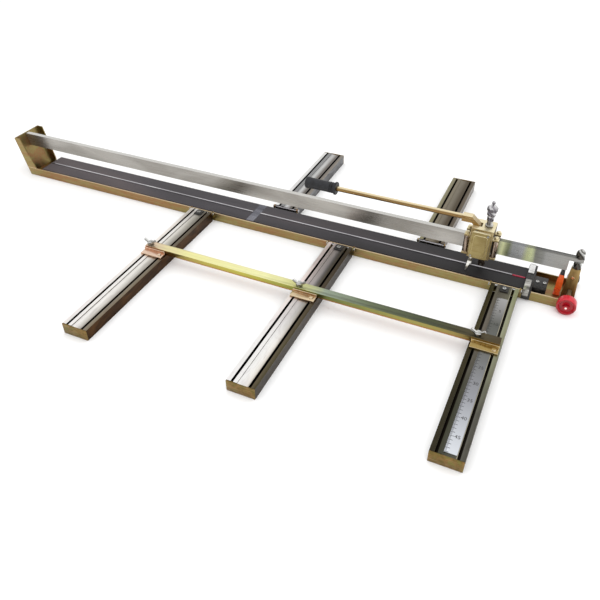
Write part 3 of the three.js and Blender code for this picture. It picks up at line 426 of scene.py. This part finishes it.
# the breaking rib stands bright between the pads, and a dark flat strip crosses them
rib_steel = ground("rib_steel", tint(158, 155, 158), tint(180, 177, 182), tint(214, 212, 214),
                   rough=0.2, size=0.05)[0]
coat(rib_steel, "breaking_rib_left", "breaking_rib_right")
strip_steel = ground("strip_steel", tint(78, 78, 86), tint(100, 100, 108), tint(128, 128, 136),
                     rough=0.24, size=0.04)[0]
coat(strip_steel, "centre_strip")

# the rail's end fittings, then the small turned pieces that run with the carriage
eased("rail_end_stud", dark_chrome, 0.0004)
eased("rail_left_bolt", worn_chrome, 0.0003)
roller_steel = chrome("roller_steel", tint(232, 218, 204), tint(168, 150, 134),
                      tint(84, 70, 58), 0.2)
for side in ("front_left", "front_right", "rear_left", "rear_right"):
    eased("guide_roller_" + side, roller_steel, 0.0006)
eased("wheel_holder", roller_steel, 0.0003)
eased("scoring_wheel", bright_chrome, 0)
eased("scoring_wheel_pin", bright_chrome, 0.0002)
eased("lever_pivot_pin", bright_chrome, 0.0003)

# ---- stop and lock at the right end ----
# A black painted saddle carries the two small stop plates, and an orange plastic lever with
# a black tip tilts between two orange cheeks.
black_paint = finish("black_paint", 0.1, 0.4)
chips = clouds(black_paint, 0.004, detail=4.0)
feed(black_paint, "Base Color", tones(black_paint, chips, (0.45, tint(26, 25, 24)),
                                      (0.66, tint(52, 50, 47)), (0.76, tint(92, 86, 76))))
relief(black_paint, chips, 0.0002, 0.3)
for name in ("stop_saddle", "stop_clamp_block"):
    eased(name, black_paint, 0.0006)
plate_steel = ground("plate_steel", tint(112, 110, 104), tint(150, 148, 142),
                     tint(206, 204, 198), size=0.012)[0]
eased("stop_plate_front", plate_steel, 0.0004)
# the rear plate is a brighter copy of the same steel: a painted highlight
plate_steel_highlit = ground("plate_steel_highlit", tint(176, 175, 172), tint(222, 222, 220),
                      tint(252, 252, 250), size=0.012)[0]
eased("stop_plate_rear", plate_steel_highlit, 0.0004)

rib_red = finish("rib_red", 0.0, 0.35, 0.3)
feed(rib_red, "Base Color", tones(rib_red, clouds(rib_red, 0.006), (0.3, tint(142, 18, 46)),
                                  (0.7, tint(172, 34, 66))))
eased("rib_red_end", rib_red, 0.0006)

lever_orange = finish("lever_orange", 0.0, 0.42, 0.2)
lever_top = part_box("lock_lever")[1][2]
tip_length = 0.013
lever_up = axes(lever_orange)["Z"]
orange = tones(lever_orange, clouds(lever_orange, 0.008), (0.3, tint(220, 84, 30)),
               (0.7, tint(238, 104, 52)))
tip = sums(lever_orange, "GREATER_THAN", lever_up, lever_top - tip_length)
feed(lever_orange, "Base Color", blend(lever_orange, tip, orange, tint(30, 28, 28)))
relief(lever_orange, clouds(lever_orange, 0.0008), 0.0001, 0.3)
eased("lock_lever", lever_orange, 0.0012, 3)
cheek_orange = finish("cheek_orange", 0.0, 0.42, 0.2)
feed(cheek_orange, "Base Color", tones(cheek_orange, clouds(cheek_orange, 0.008),
                                       (0.3, tint(202, 66, 24)), (0.7, tint(226, 88, 40))))
relief(cheek_orange, clouds(cheek_orange, 0.0008), 0.0001, 0.3)
cheeks = eased("lever_clevis", cheek_orange, 0.0008)

# ---- transport wheels ----
# A glossy red plastic wheel with a dished face turns on an axle with a red head at the
# front, and a small one coloured near black as painted shade turns on a pin at the rear.

# a turned piece: a disc drawn out along the axis, each step (distance from the foot, radius)
def turned(name, foot, axis, steps, sides=40):
    clear()
    axis = Vector(axis)
    foot = Vector(foot)
    turn = Vector((0, 0, 1)).rotation_difference(axis).to_euler()
    (along, radius), later = steps[0], steps[1:]
    bpy.ops.mesh.primitive_circle_add(vertices=sides, radius=radius, fill_type="NGON",
                                      location=foot + axis * along, rotation=turn)
    piece = bpy.context.object
    piece.name = name
    bpy.ops.object.transform_apply(location=True, rotation=True, scale=True)
    bpy.ops.object.mode_set(mode="EDIT")
    bpy.ops.mesh.select_all(action="SELECT")
    for reach, wide in later:
        move = {"value": axis * (reach - along)}
        bpy.ops.mesh.extrude_region_move(TRANSFORM_OT_translate=move)
        ratio = wide / radius
        bpy.ops.transform.resize(value=(ratio,) * 3, center_override=foot + axis * reach)
        along, radius = reach, wide
    bpy.ops.mesh.select_all(action="SELECT")
    bpy.ops.mesh.normals_make_consistent(inside=False)
    bpy.ops.object.mode_set(mode="OBJECT")
    return piece


wheel_red = finish("wheel_red", 0.0, 0.34, 0.15)
wheel_low, wheel_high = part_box("transport_wheel_front")
wheel_x = (wheel_low[0] + wheel_high[0]) / 2
wheel_z = (wheel_low[2] + wheel_high[2]) / 2
wheel_radius = (wheel_high[2] - wheel_low[2]) / 2
wheel_width = wheel_high[1] - wheel_low[1]
# painted light: the tread a lighter red than the dished faces, chosen by the way the surface
# faces
tread_light_share = sums(wheel_red, "ABSOLUTE", axes(wheel_red, "Normal")["Y"])
feed(wheel_red, "Base Color", blend(
    wheel_red, shade(wheel_red, tread_light_share, 0.0, 1.0, 0.3, 0.8),
    tones(wheel_red, clouds(wheel_red, 0.006), (0.3, tint(186, 22, 38)),
          (0.7, tint(204, 38, 56))),
    tones(wheel_red, clouds(wheel_red, 0.01), (0.3, tint(128, 6, 18)),
          (0.7, tint(164, 12, 28)))))
feed(wheel_red, "Roughness", shade(wheel_red, clouds(wheel_red, 0.004), 0.24, 0.42))
rim, hub = 0.0186, 0.0085
wheel = turned("red_wheel", (wheel_x, wheel_low[1], wheel_z), (0, 1, 0), [
    (0.0024, hub), (0.0048, 0.0094), (0.0048, 0.0152), (0.0012, 0.0176), (0.0, rim),
    (0.0, wheel_radius - 0.0022), (0.0006, wheel_radius - 0.0008), (0.0022, wheel_radius),
    (wheel_width - 0.0022, wheel_radius), (wheel_width - 0.0006, wheel_radius - 0.0008),
    (wheel_width, wheel_radius - 0.0022), (wheel_width, rim), (wheel_width - 0.003, 0.0168),
    (wheel_width - 0.003, hub)], 56)
fit(wheel, wheel_red, "wheel_front", "wheel_red", "transport_wheel_front")

# the axle's head is a red cap with a near-white painted highlight on the rivet in its middle
hub_red = finish("hub_red", 0.2, 0.3)
hub_where = axes(hub_red)
hub_x = sums(hub_red, "SUBTRACT", hub_where["X"], wheel_x)
hub_z = sums(hub_red, "SUBTRACT", hub_where["Z"], wheel_z)
hub_reach = sums(hub_red, "SQRT", sums(hub_red, "ADD", sums(hub_red, "MULTIPLY", hub_x, hub_x),
                                       sums(hub_red, "MULTIPLY", hub_z, hub_z)))
rivet_highlight_inner, rivet_highlight_outer = 0.0022, 0.0032
rivet_highlight_share = shade(hub_red, hub_reach, 1.0, 0.0, rivet_highlight_inner, rivet_highlight_outer)
hub_cap = blend(hub_red, rivet_highlight_share, tones(
    hub_red, clouds(hub_red, 0.003), (0.3, tint(140, 10, 22)), (0.7, tint(170, 18, 34))),
    tint(252, 226, 220))
hub_back = sums(hub_red, "GREATER_THAN", hub_where["Y"], wheel_low[1] + 0.003)
feed(hub_red, "Base Color", blend(hub_red, hub_back, hub_cap, tint(120, 104, 80)))
eased("wheel_axle", hub_red, 0.0005)

# the rear wheel is a plain disc coloured near black as painted shade, its faces a little
# hollowed
rear_wheel_shade = finish("rear_wheel_shade", 0.0, 0.55)
feed(rear_wheel_shade, "Base Color", tones(rear_wheel_shade, clouds(rear_wheel_shade, 0.006, detail=4.0),
                                     (0.3, tint(30, 28, 28)), (0.7, tint(56, 53, 52))))
relief(rear_wheel_shade, clouds(rear_wheel_shade, 0.001), 0.0002, 0.4)
small_low, small_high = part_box("transport_wheel_rear")
small_radius = (small_high[2] - small_low[2]) / 2
small_width = small_high[1] - small_low[1]
small_middle = ((small_low[0] + small_high[0]) / 2, small_low[1],
                (small_low[2] + small_high[2]) / 2)
round_off, bore, hollow, lip = 0.0016, 0.0062, 0.0096, 0.0112
small = turned("rear_wheel", small_middle, (0, 1, 0), [
    (round_off, bore), (round_off, hollow), (0.0, lip), (0.0, small_radius - round_off),
    (round_off, small_radius), (small_width - round_off, small_radius),
    (small_width, small_radius - round_off), (small_width, lip),
    (small_width - round_off, hollow), (small_width - round_off, bore)], 44)
fit(small, rear_wheel_shade, "wheel_rear", "pad_rubber", "transport_wheel_rear")

# ---- arms ----
# Five wide extruded aluminium arms with long slots, brushed and satin, with painted reflection
# bands on their tops and their sides painted shade in brown and olive. Each ends in a folded cap
# plated in yellow zinc.

# Across each arm's top, in painted reflection bands: the distance from its middle in
# millimetres, then a colour.
# The first row is for the end by the tray, the second for the far end, and last comes the side's
# painted shade colour.
ARM_PAINTED_REFLECTIONS = {
    "front_arm_left": (
        [(-34, 255, 250, 242), (-26, 252, 244, 236), (-16, 255, 252, 248), (-4, 240, 236, 228),
         (4, 200, 196, 186), (12, 168, 164, 154), (22, 128, 118, 104), (34, 102, 90, 74)],
        [(-34, 246, 240, 236), (-26, 250, 246, 242), (-16, 254, 251, 247), (0, 254, 251, 246),
         (10, 218, 214, 206), (14, 192, 187, 178), (24, 150, 140, 124), (34, 136, 124, 104)],
        (62, 42, 22)),
    "front_arm_centre": (
        [(-34, 255, 244, 238), (-24, 250, 232, 226), (-14, 196, 184, 180), (0, 182, 174, 172),
         (8, 116, 112, 110), (13, 96, 90, 80), (24, 92, 82, 68), (34, 84, 74, 60)],
        [(-34, 252, 250, 248), (-22, 254, 252, 250), (-10, 255, 253, 251), (0, 255, 253, 250),
         (9, 254, 250, 244), (14, 236, 230, 220), (22, 112, 102, 84), (34, 82, 76, 56)],
        (46, 34, 12)),
    "front_arm_right": (
        [(-34, 70, 64, 44), (-26, 76, 70, 48), (-16, 118, 112, 103), (-10, 108, 102, 92),
         (16, 120, 116, 100), (19, 244, 236, 208), (22, 170, 172, 144), (34, 150, 150, 122)],
        [(-34, 62, 58, 46), (-26, 64, 60, 48), (-16, 76, 76, 64), (-10, 80, 80, 70),
         (16, 96, 94, 84), (19, 220, 212, 186), (22, 104, 102, 94), (34, 88, 86, 78)],
        (66, 60, 44)),
    "rear_arm_left": (
        [(-34, 240, 240, 238), (-28, 252, 251, 249), (-18, 150, 150, 150), (-12, 142, 142, 142),
         (0, 210, 210, 210), (12, 110, 104, 98), (20, 112, 106, 100), (34, 152, 144, 134)],
        [(-34, 226, 225, 220), (-28, 244, 243, 240), (-18, 150, 150, 150), (-12, 150, 150, 150),
         (0, 216, 216, 214), (12, 124, 118, 112), (20, 122, 116, 110), (34, 150, 142, 132)],
        (92, 92, 93)),
    "rear_arm_right": (
        [(-34, 150, 144, 112), (-26, 142, 136, 108), (-16, 133, 124, 106), (-8, 128, 120, 104),
         (0, 123, 116, 102), (12, 84, 74, 58), (20, 88, 78, 64), (34, 109, 100, 86)],
        [(-34, 150, 144, 114), (-26, 142, 136, 110), (-16, 138, 128, 110), (-8, 130, 122, 106),
         (0, 126, 118, 104), (12, 92, 82, 66), (20, 92, 82, 68), (34, 112, 102, 88)],
        (112, 103, 93)),
}


# the painted reflection bands of one row, laid across the arm's width in metres
def across_arm(look, middle, painted_reflection_bands):
    half = 0.034
    offset = sums(look, "ADD", axes(look)["X"], half - middle)
    stops = [((at / 1000 + half) / (2 * half), tint(*colour)) for at, *colour in painted_reflection_bands]
    return tones(look, sums(look, "DIVIDE", offset, 2 * half), *stops)


# brushed aluminium: the top's painted reflection changes from one end to the other, the slots
# get painted shadow and the sides painted shade
def arm_look(name, root, end, side):
    low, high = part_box(name + "_profile")
    middle = (low[0] + high[0]) / 2
    look = finish(name + "_metal", 1.0, 0.3)
    where = axes(look)
    wander = sums(look, "MULTIPLY", clouds(look, 0.05, (1, 2, 1), 3.0), 0.12)
    along = sums(look, "ADD", where["Y"], wander)
    near, far = (high[1] - 0.12, low[1] + 0.2) if high[1] < 0.05 else (low[1], high[1])
    far_share = shade(look, along, 0.0, 1.0, near, far)
    top = blend(look, far_share, across_arm(look, middle, root), across_arm(look, middle, end))
    brushed = clouds(look, 0.0009, (1, 90, 1), 3.0)
    cloud = clouds(look, 0.03, (1, 3, 1), 4.0, warp=1.5)
    top = blend(look, 0.4, top, tones(look, cloud, (0.32, (0.66, 0.63, 0.64)), (0.46, (1, 1, 1)),
                                      (0.68, (0.84, 0.86, 0.82))), "MULTIPLY")
    top = blend(look, 0.28, top, tones(look, brushed, (0.4, (0.7, 0.7, 0.7)),
                                       (0.6, (1.0, 1.0, 1.0))), "MULTIPLY")
    lip_depth = 0.0016
    # painted shadow: below the top's lip the slots and recesses are near black
    deep = sums(look, "LESS_THAN", where["Z"], high[2] - lip_depth)
    top = blend(look, deep, top, tint(40, 36, 31))
    # painted shade: the sides in the arm's dark side colour, faces turned down or to the left in
    # satin grey
    shaded_flank = tones(look, cloud, (0.34, tint(*[part * 0.78 for part in side])),
                  (0.5, tint(*side)), (0.68, tint(*[part * 1.3 for part in side])))
    facing = axes(look, "Normal")
    satin = tones(look, cloud, (0.34, tint(142, 140, 136)), (0.5, tint(160, 158, 154)),
                  (0.68, tint(176, 175, 172)))
    away = sums(look, "MAXIMUM", sums(look, "LESS_THAN", facing["Z"], -0.5),
                sums(look, "LESS_THAN", facing["X"], -0.5))
    shaded_flank = blend(look, away, shaded_flank, satin)
    upward = sums(look, "GREATER_THAN", facing["Z"], 0.5)
    feed(look, "Base Color", blend(look, upward, shaded_flank, top))
    feed(look, "Roughness", shade(look, brushed, 0.24, 0.44))
    relief(look, brushed, 0.0001, 0.3)
    coat(look, name + "_profile")
    return middle


arm_middles = {name: arm_look(name, *painted_reflection_bands) for name, painted_reflection_bands in ARM_PAINTED_REFLECTIONS.items()}
cap_zinc = zinc("cap_zinc", tint(120, 124, 68), tint(138, 106, 68), tint(104, 92, 48), 1.0,
                0.4, 0.022, (1, 1, 1))
for name in ARM_PAINTED_REFLECTIONS:
    eased(name + "_cap", cap_zinc, 0.0005)
    eased(name + "_hinge_bolt", bright_chrome if "front" in name else rib_steel, 0.0003)

# ---- rule ----
# A steel rule let flush into the right arm, with short and long marks etched black.
# Small printed numbers stand beside every fifth centimetre.
rule_steel = finish("rule_steel", 0.7, 0.32)
rule_low, rule_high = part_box("arm_ruler")
rule_where = axes(rule_steel)
from_root = sums(rule_steel, "SUBTRACT", rule_high[1], rule_where["Y"])
rule_share = sums(rule_steel, "DIVIDE", from_root, rule_high[1] - rule_low[1])
rule_tone = tones(rule_steel, rule_share, (0.0, tint(170, 168, 168)), (0.2, tint(92, 93, 88)),
                  (0.45, tint(112, 113, 112)), (0.7, tint(150, 151, 157)),
                  (1.0, tint(214, 218, 224)))
reach_in = sums(rule_steel, "SUBTRACT", rule_where["X"], rule_low[0])
marks = None
for pitch, length, thick in ((0.002, 0.0042, 0.0007), (0.01, 0.0085, 0.0011)):
    beat = sums(rule_steel, "MODULO", from_root, pitch)
    line = sums(rule_steel, "LESS_THAN", beat, thick)
    line = sums(rule_steel, "MULTIPLY", line,
                sums(rule_steel, "LESS_THAN", reach_in, length))
    marks = line if marks is None else sums(rule_steel, "MAXIMUM", marks, line)
feed(rule_steel, "Base Color", blend(rule_steel, marks, rule_tone, tint(38, 36, 36)))
feed(rule_steel, "Roughness", shade(rule_steel, clouds(rule_steel, 0.001, (1, 80, 1)), 0.24,
                                    0.42))
coat(rule_steel, "arm_ruler")

# the numbers at each fifth centimetre, counted from the arm's root
figure_pitch = 0.05
ink = finish("rule_ink", 0.0, 0.6)
feed(ink, "Base Color", tones(ink, clouds(ink, 0.002), (0.3, tint(30, 28, 28)),
                              (0.7, tint(46, 44, 44))))
for count in range(1, 11):
    clear()
    place = ((rule_low[0] + rule_high[0]) / 2 + 0.003, rule_high[1] - figure_pitch * count,
             rule_high[2] + 0.00003)
    if place[1] < rule_low[1] + 0.01:
        break
    bpy.ops.object.text_add(location=place)
    figure = bpy.context.object
    figure.name = f"rule_figure_{count * 5}"
    figure.data.body = str(count * 5)
    figure.data.size = 0.012
    figure.data.align_x = "CENTER"
    figure.data.align_y = "CENTER"
    figure.data.extrude = 0.00004
    bpy.ops.object.convert(target="MESH")
    fit(bpy.context.object, ink, "front_frame", "polished_steel")

# ---- fence ----
# A folded bar across the front arms, plated in yellow zinc, with painted reflections from pale
# yellow to green along it and a copper-coloured painted reflection along its lower edge. Three
# clamp plates hold it, each with a winged chrome knob.
fence_zinc = finish("fence_zinc", 1.0, 0.3)
fence_where = axes(fence_zinc)
fence_low, fence_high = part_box("fence_bar")
fence_share = sums(fence_zinc, "DIVIDE", sums(fence_zinc, "SUBTRACT", fence_where["X"],
                                              fence_low[0]), fence_high[0] - fence_low[0])
fence_share = sums(fence_zinc, "ADD", fence_share,
                   sums(fence_zinc, "MULTIPLY", sums(fence_zinc, "SUBTRACT", clouds(
                       fence_zinc, 0.03, (2, 1, 1), 3.0), 0.5), 0.12))
# painted reflection: tones along the bar, one ramp for the top faces and one for the front
fence_top_reflection = tones(fence_zinc, fence_share, (0.0, tint(232, 208, 180)),
                  (0.14, tint(255, 250, 176)), (0.36, tint(255, 253, 190)),
                  (0.47, tint(222, 220, 150)), (0.56, tint(163, 176, 156)),
                  (0.66, tint(117, 126, 100)), (0.8, tint(89, 94, 74)),
                  (1.0, tint(88, 78, 61)))
fence_front_reflection = tones(fence_zinc, fence_share, (0.0, tint(204, 152, 122)),
                    (0.12, tint(182, 164, 84)), (0.3, tint(190, 182, 82)),
                    (0.48, tint(146, 146, 74)), (0.6, tint(116, 124, 74)),
                    (0.76, tint(158, 150, 86)), (1.0, tint(156, 130, 82)))
# painted reflection: a copper-coloured band along the lower edge of the front
lower_edge_reflection = shade(fence_zinc, fence_where["Z"], 0.75, 0.0, fence_low[2] + 0.0015,
               fence_low[2] + 0.005)
fence_front_reflection = blend(fence_zinc, lower_edge_reflection, fence_front_reflection, tint(176, 110, 62))
fence_up = sums(fence_zinc, "GREATER_THAN", axes(fence_zinc, "Normal")["Z"], 0.6)
fence_colour = blend(fence_zinc, fence_up, fence_front_reflection, fence_top_reflection)
grain = clouds(fence_zinc, 0.001, (80, 1, 1), 3.0)
feed(fence_zinc, "Base Color", blend(fence_zinc, 0.18, fence_colour, tones(
    fence_zinc, grain, (0.38, (0.7, 0.7, 0.68)), (0.62, (1, 1, 1))), "MULTIPLY"))
feed(fence_zinc, "Roughness", shade(fence_zinc, grain, 0.24, 0.42))
relief(fence_zinc, grain, 0.0001, 0.25)
eased("fence_bar", fence_zinc, 0.0005)
# painted light on each clamp: its top tone, a painted highlight on its edges and painted shade
# on its right flank
for side, face, top in (("left", (204, 160, 134), (232, 204, 182)),
                        ("centre", (168, 132, 96), (226, 204, 168)),
                        ("right", (178, 150, 88), (170, 146, 92))):
    low, high = [[part * share for part in face] for share in (0.78, 1.15)]
    clamp_zinc = zinc("clamp_zinc_" + side, tint(*face), tint(*high), tint(*low), 1.0, 0.32,
                      0.014, (1, 1, 1))
    clamp_mix = clamp_zinc.node_tree.nodes["Principled BSDF"].inputs["Base Color"]
    feed(clamp_zinc, "Base Color", painted_light_by_facing(clamp_zinc, clamp_mix.links[0].from_socket,
                                        tint(*top), tint(244, 226, 196), tint(110, 78, 48)))
    eased("fence_clamp_" + side, clamp_zinc, 0.0006)
    eased("clamp_knob_" + side, bright_chrome, 0.0009, 3)

# ---- carriage ----
# A cast block rides the rail on four rollers between two pressed covers, all plated in
# yellow zinc. A chromed neck and a knurled knob on top set the depth.
# the covers and block carry painted light by facing: painted highlights on upper faces and
# edges, painted shade on right flanks
cover_zinc = zinc("cover_zinc", tint(168, 152, 104), tint(156, 140, 92),
                  tint(142, 124, 80), 0.8, 0.38, 0.03, (1, 1, 1))
cover_mix = cover_zinc.node_tree.nodes["Principled BSDF"].inputs["Base Color"]
feed(cover_zinc, "Base Color", painted_light_by_facing(cover_zinc, cover_mix.links[0].from_socket,
                                    tint(246, 236, 202), tint(232, 218, 172),
                                    tint(112, 94, 54)))
block_zinc = zinc("block_zinc", tint(178, 160, 118), tint(152, 134, 94),
                  tint(124, 104, 70), 0.8, 0.4, 0.02, (1, 1, 1))
block_mix = block_zinc.node_tree.nodes["Principled BSDF"].inputs["Base Color"]
feed(block_zinc, "Base Color", painted_light_by_facing(block_zinc, block_mix.links[0].from_socket,
                                    tint(240, 228, 190), tint(226, 210, 164),
                                    tint(96, 82, 58)))
eased("carriage_block", block_zinc, 0.0008)
eased("carriage_cover_front", cover_zinc, 0.0014, 3)
eased("carriage_cover_rear", cover_zinc, 0.0014, 3)
neck_chrome = chrome("neck_chrome", tint(226, 224, 218), tint(122, 118, 110), tint(44, 41, 38))
eased("turret_neck", neck_chrome, 0.0006)
knob_chrome = chrome("knob_chrome", tint(250, 249, 248), tint(132, 128, 134), tint(34, 32, 34),
                     0.1)
eased("adjuster_knob", knob_chrome, 0.0004)
# the breaking foot's near-white steel is a painted highlight
foot_steel_highlit = ground("foot_steel_highlit", tint(206, 205, 198), tint(234, 233, 226),
                     tint(252, 252, 248), size=0.01)[0]
eased("breaking_foot", foot_steel_highlit, 0.0006)

# ---- lever ----
# A cranked fork, a brass-coloured plated rod and a moulded rubber grip with a collar.
# The fork turns on the pin in the block, and the grip is pushed onto the rod.
rod_zinc = zinc("rod_zinc", tint(168, 138, 92), tint(146, 118, 74), tint(134, 102, 62), 1.0,
                0.26, 0.03, (6, 1, 1))
rod_mix = rod_zinc.node_tree.nodes["Principled BSDF"].inputs["Base Color"]
# painted light: a pale painted highlight on the rod's upper faces and painted shade on its
# underside
rod_facing = axes(rod_zinc, "Normal")
rod_painted_light = blend(rod_zinc, shade(rod_zinc, rod_facing["Z"], 0.0, 1.0, 0.6, 0.9),
                   rod_mix.links[0].from_socket, tint(240, 224, 184))
rod_painted_light = blend(rod_zinc, shade(rod_zinc, rod_facing["Z"], 0.9, 0.0, -0.7, -0.1), rod_painted_light,
                   tint(70, 52, 30))
feed(rod_zinc, "Base Color", rod_painted_light)
eased("lever_fork", rod_zinc, 0.0008, 3)
eased("lever_rod", rod_zinc, 0)
grip_rubber = finish("grip_rubber", 0.0, 0.5)
grip_cloud = clouds(grip_rubber, 0.01, detail=3.0)
feed(grip_rubber, "Base Color", tones(grip_rubber, grip_cloud, (0.3, tint(16, 16, 18)),
                                      (0.7, tint(36, 37, 41))))
feed(grip_rubber, "Roughness", shade(grip_rubber, grip_cloud, 0.42, 0.62))
relief(grip_rubber, clouds(grip_rubber, 0.0007), 0.00015, 0.4)
grip_low, grip_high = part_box("lever_grip")
grip_foot = (grip_low[0], (grip_low[1] + grip_high[1]) / 2, (grip_low[2] + grip_high[2]) / 2)
grip_length = grip_high[0] - grip_low[0]
flange = (grip_high[2] - grip_low[2]) / 2
barrel = flange - 0.0025
groove = barrel - 0.0014
steps = [(0.0, 0.009), (0.0006, 0.0115), (0.003, barrel + 0.0004), (0.008, barrel + 0.001),
         (0.012, barrel + 0.0002), (0.03, barrel - 0.0004), (0.055, barrel - 0.0008),
         (grip_length - 0.02, barrel - 0.0004)]
for ring in (0.018, 0.012):
    start = grip_length - ring
    steps += [(start, barrel), (start + 0.001, groove), (start + 0.003, groove),
              (start + 0.004, barrel)]
steps += [(grip_length - 0.006, barrel), (grip_length - 0.0045, flange),
          (grip_length - 0.001, flange), (grip_length, flange - 0.001),
          (grip_length, 0.008)]
grip = turned("rubber_grip", grip_foot, (1, 0, 0), steps, 40)
fit(grip, grip_rubber, "lever", "pad_rubber", "lever_grip")

# ---- screws ----
# Bright socket screws hold a black steel plate at each front arm's root, the covers and the
# clamp block, and a gilt one is driven into the head of the post.

# squared stock between two corners, with its edges broken
def stock(name, low, high, edge=0.0004, segments=2):
    clear()
    middle = [(a + b) / 2 for a, b in zip(low, high)]
    bpy.ops.mesh.primitive_cube_add(size=1, location=middle)
    piece = bpy.context.object
    piece.name = name
    piece.scale = [b - a for a, b in zip(low, high)]
    bpy.ops.object.transform_apply(location=True, rotation=True, scale=True)
    bpy.ops.object.mode_set(mode="EDIT")
    bpy.ops.mesh.select_all(action="SELECT")
    bpy.ops.mesh.bevel(offset=edge, segments=segments, affect="EDGES")
    bpy.ops.object.mode_set(mode="OBJECT")
    return piece


# a cylinder head with a chamfered rim and a round socket half its height deep
def socket_screw(name, foot, axis, radius, height, body, look=bright_chrome):
    head = turned(name, foot, axis, [
        (0.0, radius), (height * 0.8, radius), (height, radius * 0.86),
        (height, radius * 0.5), (height * 0.5, radius * 0.48)], 24)
    return fit(head, look, body, "chrome")


plate_half = 0.011
for name in ("front_arm_left", "front_arm_centre", "front_arm_right"):
    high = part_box(name + "_profile")[1]
    middle = arm_middles[name]
    plate = stock(name + "_root_plate",
                  (middle - plate_half, high[1] - 0.026, high[2] - 0.0012),
                  (middle + plate_half, high[1] - 0.002, high[2] + 0.0009), 0.0005)
    fit(plate, black_paint, "front_frame", "black_paint")
    socket_screw(name + "_root_screw", (middle, high[1] - 0.014, high[2] + 0.0007),
                 (0, 0, 1), radius=0.0048, height=0.0032, body="front_frame")
gold_screw = chrome("gold_screw", tint(255, 246, 214), tint(206, 178, 120), tint(120, 92, 52))
socket_screw("post_screw", ((post_low[0] + post_high[0]) / 2 - 0.002, post_low[1] + 0.0006,
                            post_high[2] - 0.016), (0, -1, 0), radius=0.0036,
             height=0.0024, body="base", look=gold_screw)
block_low, block_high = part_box("stop_clamp_block")
for count, share in enumerate((0.25, 0.78)):
    socket_screw(f"clamp_block_screw_{count}", (
        block_low[0] + share * (block_high[0] - block_low[0]),
        (block_low[1] + block_high[1]) / 2, block_high[2] - 0.0004), (0, 0, 1),
        radius=0.0042, height=0.003, body="base")
for side, out in (("front", -1), ("rear", 1)):
    low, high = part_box("carriage_cover_" + side)
    face = low[1] if side == "front" else high[1]
    for corner, x, z in (("top", high[0] - 0.006, high[2] - 0.006),
                         ("low", low[0] + 0.0055, low[2] + 0.0052)):
        socket_screw(f"cover_screw_{side}_{corner}", (x, face - out * 0.0026, z), (0, out, 0),
                     radius=0.0027, height=0.0024, body="carriage")
